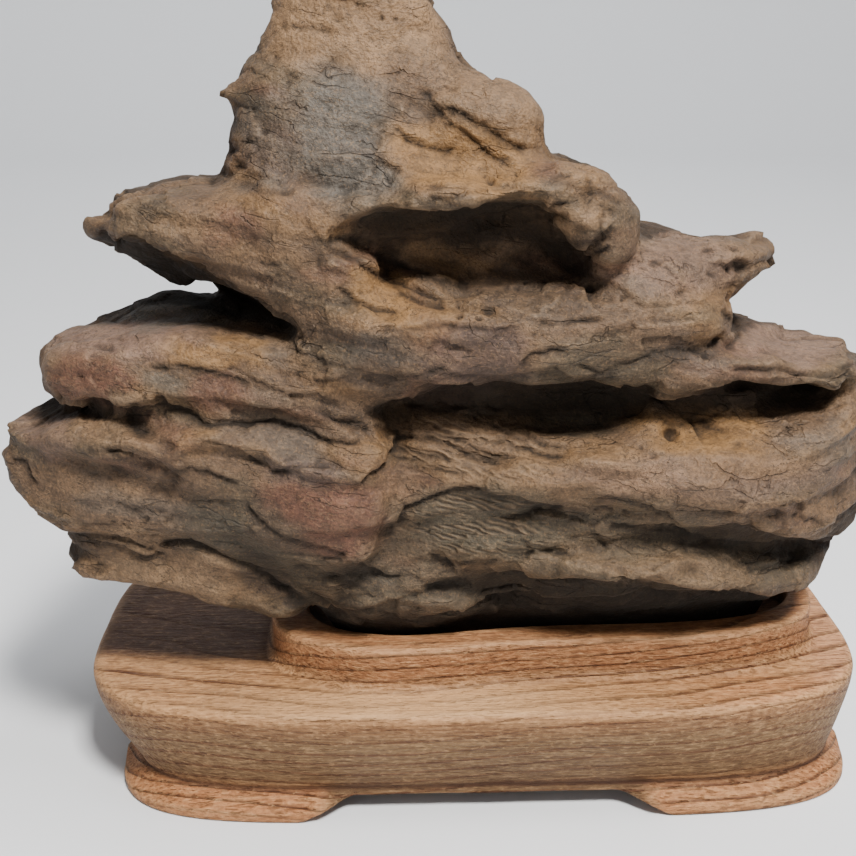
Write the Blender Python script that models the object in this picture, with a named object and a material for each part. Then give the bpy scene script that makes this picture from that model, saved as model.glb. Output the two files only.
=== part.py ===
"""A viewing stone resting in the carved seat of its low wooden stand.

Two pieces: the stone, a bedded sandstone shaped like a mountain with wings and caves,
and the stand, one block of wood with a raised seat wall and four corner feet.
The stone is made as its beds and columns, each a smooth loft, welded into one body,
hollowed by its caves, broken into ledges along its bedding and thinned to flat facets.

Lengths below are in millimetres, measured from the middle of the stand's deck at the
table; +X is to the right and +Y away from the front. The finished pair is moved so that
the origin is under the middle of its box.
"""

import math
from typing import NamedTuple

import bmesh
import bpy
from mathutils import Vector, noise

MM = 0.001

# The stand: its deck, and the crease where the side meets the feet
DECK_HALF_LENGTH, DECK_HALF_WIDTH = 108.0, 53.8
DECK_SQUARENESS = 3.7
DECK_HEIGHT, WALL_TOP = 34.2, 46.0
SEAT_FLOOR, SEAT_GAP = 38.0, 0.3
FOOT_CENTRE = (3.0, -0.5)
FOOT_HALF_LENGTH, FOOT_HALF_WIDTH = 103.6, 51.0
FOOT_SQUARENESS = 5.0
FOOT_FLARE = 4.8
CREASE_HEIGHT = 7.3
BODY_START, BODY_UNDERSIDE = 1.2, 5.6
FEET_TOP = 8.9

# Tables of inset and height: the foot, the deck's edge, the seat wall and the seat
FOOT_STEPS = ((0.6, 0.0), (0.0, 0.8), (0.0, 2.6), (0.8, 3.6), (4.8, 7.7), (7.3, FEET_TOP))
EDGE_STEPS = ((0.4, 33.0), (1.8, DECK_HEIGHT))
WALL_STEPS = ((-2.4, 33.2), (-1.6, 34.7), (-0.3, 36.2), (0.0, 45.0), (1.0, WALL_TOP))
SEAT_STEPS = ((0.6, SEAT_FLOOR), (0.0, 39.2), (0.0, 45.2), (-0.9, 46.2), (-0.9, 50.0))

# The bowl-shaped side, as height and share of the way from the crease to the deck's edge
SIDE_PROFILE = ((10.0, 0.10), (14.0, 0.33), (19.0, 0.62), (24.0, 0.85), (28.5, 0.98), (31.5, 1.0))

# The hollow under the stand and the arches between its feet
FOOT_PAD = 20.0
ARCH_CENTRE_X, ARCH_HALF_LENGTH = 1.5, 36.5
SIDE_ARCH_HALF_LENGTH = 12.0
ARCH_STEP = 0.06
BELOW_FEET = -3.0
ARCH_RAMP = ((14.0, BELOW_FEET), (12.5, 0.3), (8.0, 2.6), (3.5, 4.8), (0.0, BODY_UNDERSIDE))
SLOT_LEAN, SLOT_PLAY, SLOT_REACH = 2.3, 0.4, 5.0
CUTTER_REACH = 220.0

# The seat wall and the seat cut into it
WALL_CENTRE = (20.0, 0.0)
WALL_HALF_LENGTH, WALL_HALF_WIDTH = 77.5, 36.5
WALL_SQUARENESS, WALL_SQUARENESS_LEFT = 3.4, 5.0
WALL_SWELL, WALL_SWELL_X, WALL_SWELL_LENGTH = 4.6, -23.0, 26.0
SEAT_CENTRE = (22.0, 1.0)
SEAT_HALF_LENGTH, SEAT_HALF_WIDTH = 69.5, 28.5
OUTLINE_POINTS = 52
CREASE_ANGLE = 40.0

# The stone
LOFT_STEPS = 5
SECTION_POINTS = 32
WELD_VOXEL, FINE_VOXEL = 1.6, 1.3
STONE_FACETS = 6600
BED_DIP = 0.045
BED_SPACING = 12.5
WANDERS = ((16.0, 75.0), (4.5, 27.0))
LEDGE_RELIEF, LEDGE_MEAN, LEDGE_SWING = 4.6, 0.4, 1.3
LEDGE_PATCH, BED_SHUFFLE = 31.0, 3.7
UNDERCUT_SHARE, LEDGE_LEVEL = 0.14, 0.35
SUMMIT_START, SUMMIT_FULL, SUMMIT_LEDGES = 158.0, 176.0, 0.35
LUMP_GRAIN, LUMP_SIZE, LUMP_RELIEF = Vector((1.0, 1.0, 1.4)), 22.0, 2.0
CHIP_GRAIN, CHIP_SIZE, CHIP_RELIEF = Vector((0.6, 0.8, 1.4)), 7.0, 0.8
RELIEF_START, RELIEF_FULL = 46.0, 56.0
KNIFE_Y = -70.0


class Slice(NamedTuple):
    """One section of a bed, across it at a distance along X."""

    x: float
    low: float
    high: float
    front: float
    back: float
    lift: float = 0.0


class Level(NamedTuple):
    """One level section of a column."""

    z: float
    left: float
    right: float
    front: float
    back: float


class Bed(NamedTuple):
    """A layer of the stone that runs left to right."""

    squareness: float
    sections: tuple


class Column(NamedTuple):
    """A mass of the stone that runs upwards."""

    squareness: float
    sections: tuple


COLUMNS = {
    "summit": Column(2.7, (
        Level(221.5, -36, -25, -6, 5),
        Level(218.0, -42, -19.5, -11, 9),
        Level(212.0, -47, -14.5, -14, 12),
        Level(206.0, -50, -11, -16, 15),
        Level(198.0, -53, -7.5, -19, 18),
        Level(192.0, -56.5, -5, -21, 20),
        Level(187.0, -62.5, -3, -24, 22),
        Level(182.5, -64, 2, -26, 23),
        Level(178.5, -62, 6, -28, 24),
        Level(170.0, -64, 10, -31, 27),
        Level(160.0, -62, 15, -31, 29),
        Level(150.0, -54, 22, -27, 29),
    )),
    "shoulder": Column(2.3, (
        Level(190.5, -14, -5, -13, 8),
        Level(187.0, -19, 1.5, -21, 12),
        Level(183.0, -21, 8, -26.5, 15),
        Level(179.0, -18, 12, -29, 17),
        Level(174.5, -11, 14, -29.5, 18),
        Level(170.0, -3, 15.5, -28, 18),
        Level(164.0, 4, 16, -22, 16),
    )),
    "core": Column(3.0, (
        Level(37.0, -41, 85, -22, 24),
        Level(46.0, -44, 88, -25, 27),
        Level(55.0, -50, 91, -31, 31),
        Level(66.0, -58, 92, -38, 34),
        Level(80.0, -64, 96, -41.5, 36),
        Level(96.0, -64, 96, -42, 35),
        Level(106.0, -62, 96, -33, 34),
        Level(114.0, -58, 89, -28, 31),
        Level(124.0, -50, 56, -34, 32),
        Level(136.0, -46, 48, -33, 31),
        Level(146.0, -46, 38, -24, 29),
        Level(157.0, -50, 28, -24, 27),
    )),
    "toe": Column(2.5, (
        Level(37.0, -39, -6, -23, 0),
        Level(46.0, -43, 0, -29.5, 0),
        Level(52.0, -46, 6, -34, 0),
        Level(60.0, -50, 12, -38.5, 0),
        Level(70.0, -52, 16, -40.5, 0),
    )),
}
BEDS = {
    "left wing": Bed(4.0, (
        Slice(-98.5, 151.5, 154, -14, -2),
        Slice(-94, 147.5, 156.5, -22, 6, 6),
        Slice(-88, 143, 159.5, -28, 12, 12),
        Slice(-78, 137, 163.3, -33, 18, 18),
        Slice(-68, 131.5, 164.5, -36, 22, 17),
        Slice(-58, 128, 165, -38, 25, 12),
        Slice(-48, 125, 165.5, -40, 27, 7),
        Slice(-38, 124, 166, -41, 28),
        Slice(-26, 126, 165, -38, 26),
    )),
    "left ledge": Bed(4.6, (
        Slice(-112, 117, 121, -24, -8),
        Slice(-108.5, 113.5, 124.5, -32, 4),
        Slice(-100, 111.5, 127.5, -37, 11),
        Slice(-86, 109.5, 129, -39.5, 16),
        Slice(-70, 108, 129.6, -40.5, 20),
        Slice(-50, 107, 130, -42, 22),
        Slice(-30, 108, 132, -42, 22),
    )),
    "left low wing": Bed(2.9, (
        Slice(-123, 92, 97.5, -27, -16),
        Slice(-119.5, 86.5, 102, -31, -6),
        Slice(-113, 78, 106.5, -34, 3),
        Slice(-106, 71, 109, -36.5, 8),
        Slice(-98, 67, 110, -38.5, 12),
        Slice(-86, 63, 110.5, -40, 16),
        Slice(-72, 60, 111.5, -42, 22),
        Slice(-56, 56, 111.5, -43, 26),
        Slice(-38, 50, 110, -42, 28),
    )),
    "left shoulder": Bed(2.8, (
        Slice(-114, 99, 104, -30, -10),
        Slice(-104, 101, 108.5, -40, -2),
        Slice(-92, 98, 110, -45, 3),
        Slice(-74, 92, 111, -47.5, 6),
        Slice(-58, 89, 110, -46.5, 8),
        Slice(-42, 88, 108, -43, 8),
    )),
    "low slab": Bed(2.8, (
        Slice(-109.5, 65.5, 70.5, -24, -6),
        Slice(-104, 63, 73, -31.5, 3),
        Slice(-92, 61.3, 73.5, -36.5, 12),
        Slice(-76, 57.8, 71, -38.8, 20),
        Slice(-61, 53, 67, -40.5, 24),
        Slice(-51, 51, 61, -40, 22),
        Slice(-46, 52.5, 57.5, -35, 10),
    )),
    "heart": Bed(3.0, (
        Slice(-72, 80, 102, -41, 0),
        Slice(-60, 72, 108, -45.5, 0),
        Slice(-45, 68, 112, -48.3, 0),
        Slice(-33, 69, 113, -49, 0),
        Slice(-27, 74, 111, -48, 0),
        Slice(-23, 82, 105, -43, 0),
    )),
    "middle bed": Bed(3.3, (
        Slice(-46, 110, 138, -42, 26),
        Slice(-34, 111, 143, -45, 28),
        Slice(-22, 112.5, 144, -46.5, 28),
        Slice(-8, 116, 143.5, -47, 28),
        Slice(8, 116.5, 142.5, -47, 28),
        Slice(22, 116, 142.5, -46, 28),
        Slice(34, 115.5, 143, -44, 27),
        Slice(46, 118.5, 143, -40, 24),
        Slice(56, 122, 140.5, -34, 18),
        Slice(62.5, 125.5, 136, -25, 6),
    )),
    "brow": Bed(2.7, (
        Slice(-38, 154, 160, -36, 0),
        Slice(-30, 157.5, 164.5, -42, 0),
        Slice(-16, 160, 165.8, -46, 0),
        Slice(2, 162, 167.5, -46.5, 0),
        Slice(12, 162, 169.5, -45, 0),
        Slice(20, 158, 170, -43, 0),
        Slice(28, 154, 168, -40, 0),
    )),
    "knob": Bed(2.6, (
        Slice(9, 160, 168.5, -40, 2),
        Slice(16, 154, 170, -43, 4),
        Slice(23, 146, 169.8, -43, 4),
        Slice(29, 144, 167.5, -41, 2),
        Slice(34, 148, 162.5, -34, -3),
        Slice(36.3, 152, 158.5, -28, -10),
    )),
    "right wing": Bed(2.6, (
        Slice(28, 122, 153.5, -36, 26),
        Slice(42, 124, 151, -35, 24),
        Slice(52, 126, 149.8, -32, 20),
        Slice(60, 132, 148.8, -27, 16),
        Slice(66, 136.5, 148, -22, 12),
        Slice(72, 139.5, 146.3, -17, 6),
        Slice(78, 140.5, 143, -12, 0),
    )),
    "right slab": Bed(3.6, (
        Slice(44, 113, 127, -38, 22),
        Slice(62, 115, 125.5, -40, 20),
        Slice(78, 115.5, 122.5, -38.5, 16),
        Slice(91, 114.5, 120, -35, 10),
        Slice(100, 113, 118, -28, 4),
        Slice(105.5, 112.5, 115.5, -19, -6),
    )),
    "right bulge": Bed(2.9, (
        Slice(-18, 92, 103, -40, 24),
        Slice(-8, 89, 102, -44.5, 24),
        Slice(10, 87, 101, -47.5, 24),
        Slice(30, 86, 103, -49, 24),
        Slice(52, 82, 105, -49.5, 24),
        Slice(74, 76, 107, -48, 22),
        Slice(87, 71, 109, -42, 18),
        Slice(95, 68.5, 116, -33, 13),
        Slice(102, 69, 111, -24, 7),
        Slice(108, 75, 94, -14, -3),
    )),
    "low shelf": Bed(2.5, (
        Slice(-14, 66, 80, -40.5, 22),
        Slice(14, 66, 79.5, -44, 24),
        Slice(34, 64, 77.5, -47, 26),
        Slice(56, 61, 74, -47, 26),
        Slice(74, 58.5, 71, -42, 22),
        Slice(85, 57.5, 70, -34, 16),
        Slice(94, 58, 71, -24, 10),
        Slice(99.5, 62, 72, -14, 2),
    )),
    "rear low shelf": Bed(2.7, (
        Slice(-80, 70, 88, 0, 30),
        Slice(-60, 64, 86, 0, 39),
        Slice(-20, 62, 82, 0, 44),
        Slice(30, 66, 84, 0, 42),
        Slice(70, 72, 92, 0, 36),
        Slice(92, 78, 92, 0, 24),
    )),
    "rear high shelf": Bed(2.7, (
        Slice(-84, 112, 124, 0, 27),
        Slice(-60, 108, 124, 0, 37),
        Slice(-20, 112, 128, 0, 41),
        Slice(24, 110, 124, 0, 38),
        Slice(60, 112, 124, 0, 30),
    )),
    "rear brow": Bed(2.6, (
        Slice(-72, 142, 156, 0, 30),
        Slice(-44, 144, 160, 0, 36),
        Slice(-10, 146, 162, 0, 35),
        Slice(24, 146, 158, 0, 26),
    )),
}
CAVES = {
    "brow cave": Bed(3.0, (
        Slice(-37, 151, 156, KNIFE_Y, -37),
        Slice(-31, 149, 159.5, KNIFE_Y, -31),
        Slice(-14, 145, 162, KNIFE_Y, -24),
        Slice(2, 144, 163.5, KNIFE_Y, -22.5),
        Slice(14, 143.5, 162, KNIFE_Y, -23.5),
        Slice(22, 144, 157, KNIFE_Y, -27),
        Slice(27.5, 145, 151, KNIFE_Y, -34),
    )),
    "middle cave": Bed(3.2, (
        Slice(-24, 107, 110, KNIFE_Y, -41),
        Slice(-10, 103.5, 116, KNIFE_Y, -32),
        Slice(6, 102.5, 117.5, KNIFE_Y, -26),
        Slice(22, 102, 117.5, KNIFE_Y, -22),
        Slice(34, 102, 118, KNIFE_Y, -23),
        Slice(42, 104, 119, KNIFE_Y, -29),
        Slice(47, 108, 117, KNIFE_Y, -37),
    )),
    "slab cave": Bed(2.8, (
        Slice(44, 113, 118, KNIFE_Y, -37),
        Slice(58, 110.5, 119, KNIFE_Y, -27),
        Slice(76, 108.5, 117, KNIFE_Y, -22),
        Slice(87, 108.5, 116, KNIFE_Y, -23),
        Slice(92, 109.5, 115, KNIFE_Y, -29),
    )),
    "wing cave": Bed(3.2, (
        Slice(-92, 129.4, 133, KNIFE_Y, 8),
        Slice(-80, 129.4, 136, KNIFE_Y, 7),
        Slice(-70, 129.6, 140, KNIFE_Y, 5),
        Slice(-62, 129.6, 139.5, KNIFE_Y, 2),
        Slice(-54, 129.5, 136.5, KNIFE_Y, -8),
        Slice(-49, 129.5, 133.5, KNIFE_Y, -20),
        Slice(-45, 129.5, 131, KNIFE_Y, -33),
    )),
    "lens hollow": Bed(2.2, (
        Slice(-24, 84, 88, KNIFE_Y, -45),
        Slice(-14, 79, 95, KNIFE_Y, -42),
        Slice(2, 77, 95, KNIFE_Y, -42),
        Slice(16, 80, 93, KNIFE_Y, -44),
        Slice(23, 84, 88, KNIFE_Y, -47),
    )),
    "ochre face": Bed(2.4, (
        Slice(-23, 170, 175, KNIFE_Y, -29),
        Slice(-14, 167.3, 179, KNIFE_Y, -26),
        Slice(0, 168.3, 176, KNIFE_Y, -24.5),
        Slice(9, 170, 172.5, KNIFE_Y, -24.5),
    )),
    "low shelf undercut": Bed(2.4, (
        Slice(14, 76, 84, KNIFE_Y, -41.5),
        Slice(34, 74.5, 84, KNIFE_Y, -41),
        Slice(56, 71.5, 81, KNIFE_Y, -40),
        Slice(74, 68.5, 76, KNIFE_Y, -37),
        Slice(90, 67, 71, KNIFE_Y, -32),
    )),
}


def clear_scene():
    for old in list(bpy.data.objects):
        bpy.data.objects.remove(old)


def make_material(name, colour, roughness):
    """A plain surface of one colour."""
    material = bpy.data.materials.new(name)
    material.use_nodes = True
    shader = material.node_tree.nodes["Principled BSDF"]
    shader.inputs["Base Color"].default_value = (*colour, 1.0)
    shader.inputs["Roughness"].default_value = roughness
    shader.inputs["Metallic"].default_value = 0.0
    return material


def ramp(value, start, end):
    """0 below start, 1 above end, and a smooth rise between them."""
    share = max(0.0, min(1.0, (value - start) / (end - start)))
    return share * share * (3 - 2 * share)


def mix(first, second, share):
    return first + (second - first) * share


def power_curve(angle, squareness):
    """A point of the unit superellipse, in the direction of angle."""
    across, up = math.cos(angle), math.sin(angle)
    return (
        math.copysign(abs(across) ** (2 / squareness), across),
        math.copysign(abs(up) ** (2 / squareness), up),
    )


def between(sections, place):
    """The section at a place counted in sections, on a smooth curve through them all."""
    first = min(int(place), len(sections) - 2)
    share = place - first
    near = [sections[max(0, min(len(sections) - 1, first + k))] for k in (-1, 0, 1, 2)]

    def spline(a, b, c, d):
        return b + 0.5 * share * (
            c - a + share * (2 * a - 5 * b + 4 * c - d + share * (3 * (b - c) + d - a))
        )

    return type(near[0])(*(spline(*values) for values in zip(*near)))


def bed_ring(section, squareness):
    """The points of one section of a bed, in the plane across X.

    The lift raises the lower front edge, so that the underside slopes down to the back.
    """
    middle_y, half_y = (section.front + section.back) / 2, (section.back - section.front) / 2
    middle_z, half_z = (section.low + section.high) / 2, (section.high - section.low) / 2
    points = []
    for k in range(SECTION_POINTS):
        across, up = power_curve(2 * math.pi * k / SECTION_POINTS, squareness)
        raised = section.lift * max(0.0, -across) * max(0.0, -up)
        points.append(Vector((section.x, middle_y + half_y * across, middle_z + half_z * up + raised)))
    return points


def column_ring(section, squareness):
    """The points of one level section of a column."""
    middle_x, half_x = (section.left + section.right) / 2, (section.right - section.left) / 2
    middle_y, half_y = (section.front + section.back) / 2, (section.back - section.front) / 2
    points = []
    for k in range(SECTION_POINTS):
        across, deep = power_curve(2 * math.pi * k / SECTION_POINTS, squareness)
        points.append(Vector((middle_x + half_x * across, middle_y + half_y * deep, section.z)))
    return points


def add_loft(mesh, rings):
    """Adds a closed skin over rings of points, with a fan of faces on each end."""
    loops = [[mesh.verts.new(point * MM) for point in ring] for ring in rings]
    count = len(loops[0])
    for first, second in zip(loops, loops[1:]):
        for k in range(count):
            n = (k + 1) % count
            mesh.faces.new((first[k], first[n], second[n], second[k]))
    for loop in (loops[0], loops[-1]):
        tip = mesh.verts.new(sum((v.co for v in loop), Vector()) / count)
        for k in range(count):
            mesh.faces.new((loop[k], loop[(k + 1) % count], tip))


def add_form(mesh, form):
    """Adds one bed or column to the mesh."""
    ring = bed_ring if isinstance(form, Bed) else column_ring
    steps = (len(form.sections) - 1) * LOFT_STEPS
    sections = [between(form.sections, k / LOFT_STEPS) for k in range(steps + 1)]
    add_loft(mesh, [ring(section, form.squareness) for section in sections])


def object_from(name, mesh):
    """An object that holds the mesh, with its faces turned outwards."""
    bmesh.ops.recalc_face_normals(mesh, faces=mesh.faces)
    data = bpy.data.meshes.new(name)
    mesh.to_mesh(data)
    mesh.free()
    made = bpy.data.objects.new(name, data)
    bpy.context.collection.objects.link(made)
    return made


def apply_modifiers(made):
    """Makes the evaluated mesh the object's own."""
    graph = bpy.context.evaluated_depsgraph_get()
    evaluated = bpy.data.meshes.new_from_object(made.evaluated_get(graph))
    made.modifiers.clear()
    made.data = evaluated


def even_faces(made, voxel):
    """Welds what overlaps into one body of small square faces."""
    step = made.modifiers.new("Even faces", "REMESH")
    step.mode = "VOXEL"
    step.voxel_size = voxel * MM
    apply_modifiers(made)


def smooth_over(made, factor, times):
    step = made.modifiers.new("Smooth", "SMOOTH")
    step.factor = factor
    step.iterations = times
    apply_modifiers(made)


def thin_out(made, facets):
    """Reduces the mesh to about that many triangles, which keep its edges."""
    triangles = sum(len(face.vertices) - 2 for face in made.data.polygons)
    step = made.modifiers.new("Thin out", "DECIMATE")
    step.ratio = facets / triangles
    step.use_collapse_triangulate = True
    apply_modifiers(made)


def boolean(made, tool, operation):
    """Joins the tool to the object or cuts it away, and removes the tool."""
    step = made.modifiers.new(operation.title(), "BOOLEAN")
    step.operation = operation
    step.solver = "EXACT"
    step.object = tool
    apply_modifiers(made)
    bpy.data.objects.remove(tool)


def weld_forms(name, forms):
    """Lofts the forms and welds them into one body."""
    mesh = bmesh.new()
    for form in forms:
        add_form(mesh, form)
    welded = object_from(name, mesh)
    even_faces(welded, WELD_VOXEL)
    return welded


def bedding_relief(point):
    """How far the rock stands out at a point, in millimetres.

    Each bed stands proud at its lower edge, over a sharp undercut, and slopes back up to
    the next; how strongly changes from bed to bed and along each bed.
    """
    level = point.z - BED_DIP * point.x
    level += sum(reach * noise.noise(point / size) for reach, size in WANDERS)
    bed, share = divmod(level / BED_SPACING, 1.0)
    patch = Vector((point.x / LEDGE_PATCH, point.y / LEDGE_PATCH, BED_SHUFFLE * bed))
    strength = max(0.0, LEDGE_MEAN + LEDGE_SWING * noise.noise(patch))
    strength *= mix(1.0, SUMMIT_LEDGES, ramp(point.z, SUMMIT_START, SUMMIT_FULL))
    ledge = strength * (ramp(share, 0.0, UNDERCUT_SHARE) * (1.0 - share) - LEDGE_LEVEL)
    lumps = noise.fractal(LUMP_GRAIN * point / LUMP_SIZE, 1.0, 2.0, 3)
    chips = noise.noise(CHIP_GRAIN * point / CHIP_SIZE)
    return LEDGE_RELIEF * ledge + LUMP_RELIEF * lumps + CHIP_RELIEF * chips


def weather(stone):
    """Breaks the stone into ledges along its bedding and keeps its foot inside the seat."""
    mesh = bmesh.new()
    mesh.from_mesh(stone.data)
    mesh.normal_update()
    for vertex in mesh.verts:
        point = vertex.co / MM
        free = ramp(point.z, RELIEF_START, RELIEF_FULL)
        vertex.co += vertex.normal * (bedding_relief(point) * free * MM)
    lowest = (SEAT_FLOOR + SEAT_GAP) * MM
    for vertex in mesh.verts:
        vertex.co.z = max(vertex.co.z, lowest)
    mesh.to_mesh(stone.data)
    mesh.free()


def build_stone():
    stone = weld_forms("viewing_stone", [*COLUMNS.values(), *BEDS.values()])
    smooth_over(stone, 0.5, 3)
    boolean(stone, weld_forms("caves", CAVES.values()), "DIFFERENCE")
    even_faces(stone, FINE_VOXEL)
    smooth_over(stone, 0.4, 1)
    weather(stone)
    thin_out(stone, STONE_FACETS)
    stone.data.materials.append(make_material("brown_sandstone", (0.25, 0.19, 0.13), 0.9))
    return stone


def outline(half_length, half_width, squareness, centre, z, squareness_left=None):
    """A level rounded-rectangle outline, whose left half may have squarer corners."""
    points = []
    for k in range(OUTLINE_POINTS):
        angle = 2 * math.pi * k / OUTLINE_POINTS
        corners = squareness_left if squareness_left and math.cos(angle) < 0 else squareness
        across, deep = power_curve(angle, corners)
        points.append(Vector((centre[0] + half_length * across, centre[1] + half_width * deep, z)))
    return points


def deck_outline(inset, z):
    return outline(DECK_HALF_LENGTH - inset, DECK_HALF_WIDTH - inset, DECK_SQUARENESS, (0, 0), z)


def foot_outline(inset, z):
    return outline(
        FOOT_HALF_LENGTH - inset, FOOT_HALF_WIDTH - inset, FOOT_SQUARENESS, FOOT_CENTRE, z
    )


def side_outline(share, z):
    """The bowl-shaped side: the crease at share 0 and the deck's edge at share 1."""
    pairs = zip(foot_outline(FOOT_FLARE, z), deck_outline(0.0, z))
    return [mix(crease, deck, share) for crease, deck in pairs]


def swollen(points):
    """Lets the front of the seat wall swell forwards where the stone's toe stands."""
    for point in points:
        if point.y < 0:
            near = math.exp(-(((point.x - WALL_SWELL_X) / WALL_SWELL_LENGTH) ** 2))
            point.y -= WALL_SWELL * near * ramp(-point.y, 0.0, SEAT_HALF_WIDTH)
    return points


def wall_outline(inset, z):
    return swollen(outline(
        WALL_HALF_LENGTH - inset, WALL_HALF_WIDTH - inset,
        WALL_SQUARENESS, WALL_CENTRE, z, WALL_SQUARENESS_LEFT,
    ))


def seat_outline(inset, z):
    return swollen(outline(
        SEAT_HALF_LENGTH - inset, SEAT_HALF_WIDTH - inset,
        WALL_SQUARENESS, SEAT_CENTRE, z, WALL_SQUARENESS_LEFT,
    ))


def solid_from(name, rings):
    mesh = bmesh.new()
    add_loft(mesh, rings)
    return object_from(name, mesh)


def arch_cutter(name, half_length, centre, step, along_x):
    """A bar under the stand whose ends slope, so that each foot ends in a soft ramp."""
    profile = [(-half_length - out, z + step) for out, z in ARCH_RAMP]
    profile += [(-across, z) for across, z in reversed(profile)]
    rings = []
    for end in (-CUTTER_REACH, CUTTER_REACH):
        if along_x:
            rings.append([Vector((end, centre + across, z)) for across, z in profile])
        else:
            rings.append([Vector((centre + across, end, z)) for across, z in profile])
    return solid_from(name, rings)


def slot_cutter(name, half_length, centre, along_x):
    """Parts the feet's flare over an arch, in a wedge that widens upwards."""
    rings = []
    for rise in (-SLOT_REACH, SLOT_REACH):
        half = half_length + SLOT_LEAN * (rise + SLOT_PLAY)
        low, high = centre - half, centre + half
        far = CUTTER_REACH
        corners = ((-far, low), (far, low), (far, high), (-far, high))
        if not along_x:
            corners = [(y, x) for x, y in corners]
        rings.append([Vector((x, y, BODY_UNDERSIDE + rise)) for x, y in corners])
    return solid_from(name, rings)


def build_feet():
    """Four flared corner feet: the foot outline, parted at the front, back and sides."""
    feet = solid_from("feet", [foot_outline(inset, z) for inset, z in FOOT_STEPS])
    boolean(feet, slot_cutter("front slot", ARCH_HALF_LENGTH, ARCH_CENTRE_X, False), "DIFFERENCE")
    boolean(feet, slot_cutter("side slot", SIDE_ARCH_HALF_LENGTH, 0.0, True), "DIFFERENCE")
    return feet


def hollow_out(stand):
    """Cuts the hollow under the stand and the arches that lead into it."""
    hollow = solid_from("hollow", [foot_outline(FOOT_PAD, z) for z in (BELOW_FEET, BODY_UNDERSIDE)])
    boolean(stand, hollow, "DIFFERENCE")
    front_arch = arch_cutter("front arch", ARCH_HALF_LENGTH, ARCH_CENTRE_X, -ARCH_STEP, False)
    boolean(stand, front_arch, "DIFFERENCE")
    side_arch = arch_cutter("side arch", SIDE_ARCH_HALF_LENGTH, 0.0, ARCH_STEP, True)
    boolean(stand, side_arch, "DIFFERENCE")


def build_stand():
    """The deck and its bowl-shaped side, the feet, the seat wall and the seat."""
    stand = solid_from("wooden_stand", [
        side_outline(0.0, BODY_START),
        side_outline(0.0, CREASE_HEIGHT),
        *(side_outline(share, z) for z, share in SIDE_PROFILE),
        *(deck_outline(inset, z) for inset, z in EDGE_STEPS),
    ])
    boolean(stand, build_feet(), "UNION")
    hollow_out(stand)
    wall = solid_from("seat wall", [wall_outline(inset, z) for inset, z in WALL_STEPS])
    boolean(stand, wall, "UNION")
    seat = solid_from("seat", [seat_outline(inset, z) for inset, z in SEAT_STEPS])
    boolean(stand, seat, "DIFFERENCE")
    stand.data.shade_smooth()
    stand.data.set_sharp_from_angle(angle=math.radians(CREASE_ANGLE))
    stand.data.materials.append(make_material("oiled_hardwood", (0.47, 0.30, 0.18), 0.6))
    return stand


def stand_on_origin(pieces):
    """Moves the pair so that the origin is under the middle of its box, on the table."""
    corners = [v.co for piece in pieces for v in piece.data.vertices]
    middle = [(min(c[k] for c in corners) + max(c[k] for c in corners)) / 2 for k in (0, 1)]
    root = bpy.data.objects.new("stone_on_stand", None)
    bpy.context.collection.objects.link(root)
    root.location = (-middle[0], -middle[1], -min(c.z for c in corners))
    for piece in pieces:
        piece.parent = root


def main():
    clear_scene()
    stand_on_origin([build_stone(), build_stand()])


main()
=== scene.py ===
"""A bedded brown viewing stone in the raised seat of its low carved wooden stand.

The stone starts from its solid. A copy of it is given a fine even skin, its facets are
smoothed away, and beds, chips, pits and the named features of its front are pressed
into that skin. The stand is one closed surface of rings, from the hollow between its
feet up to the floor of the seat. Lengths are in millimetres up to the last step, which
puts them into the mesh in metres.
"""
import logging
import math
from dataclasses import dataclass
from enum import Enum
from typing import Optional, Union

import bmesh
import bpy
import numpy as np
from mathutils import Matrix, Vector


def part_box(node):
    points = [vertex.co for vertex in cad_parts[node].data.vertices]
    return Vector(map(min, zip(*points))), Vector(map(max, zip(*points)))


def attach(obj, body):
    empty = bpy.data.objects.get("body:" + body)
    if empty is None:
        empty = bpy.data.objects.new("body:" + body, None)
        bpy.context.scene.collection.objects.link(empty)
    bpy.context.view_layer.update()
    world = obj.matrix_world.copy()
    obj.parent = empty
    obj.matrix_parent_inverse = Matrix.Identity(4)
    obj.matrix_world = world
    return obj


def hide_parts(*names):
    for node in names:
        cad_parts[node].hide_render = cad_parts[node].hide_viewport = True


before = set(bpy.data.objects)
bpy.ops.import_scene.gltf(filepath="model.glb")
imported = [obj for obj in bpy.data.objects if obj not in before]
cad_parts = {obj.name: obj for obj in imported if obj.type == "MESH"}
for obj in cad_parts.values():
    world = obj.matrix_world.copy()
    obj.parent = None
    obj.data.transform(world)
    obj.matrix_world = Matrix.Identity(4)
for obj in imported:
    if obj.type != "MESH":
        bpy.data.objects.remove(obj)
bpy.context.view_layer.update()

LOG = logging.getLogger("viewing_stone")

MM = 0.001                  # metres in a millimetre
STAND_LEFT = -108.0         # the stand's left end, from its own middle
# How far right of the frame's origin the stand's middle is.
STAND_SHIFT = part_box("wooden_stand")[0][0] / MM - STAND_LEFT

Array = np.ndarray
Colour = tuple[float, float, float]
Place = tuple[float, float, float]
Profile = tuple[tuple[float, float], ...]


# ---- Colours and curves ------------------------------------------------------------

def paint(red: int, green: int, blue: int) -> Colour:
    """Returns the linear colour of a swatch given in display values of 0 to 255."""
    shares = (red / 255.0, green / 255.0, blue / 255.0)
    return tuple(s / 12.92 if s <= 0.04045 else ((s + 0.055) / 1.055) ** 2.4 for s in shares)


def ease(values: Array, low: float, high: float) -> Array:
    """Rises from 0 at low to 1 at high along the curve 3t squared less 2t cubed.

    Args:
        values: The numbers to ease.
        low: Where the rise starts.
        high: Where it ends; a smaller value than low makes a fall.

    Returns:
        Shares between 0 and 1.
    """
    share = np.clip((values - low) / (high - low), 0.0, 1.0)
    return share * share * (3.0 - 2.0 * share)


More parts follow.
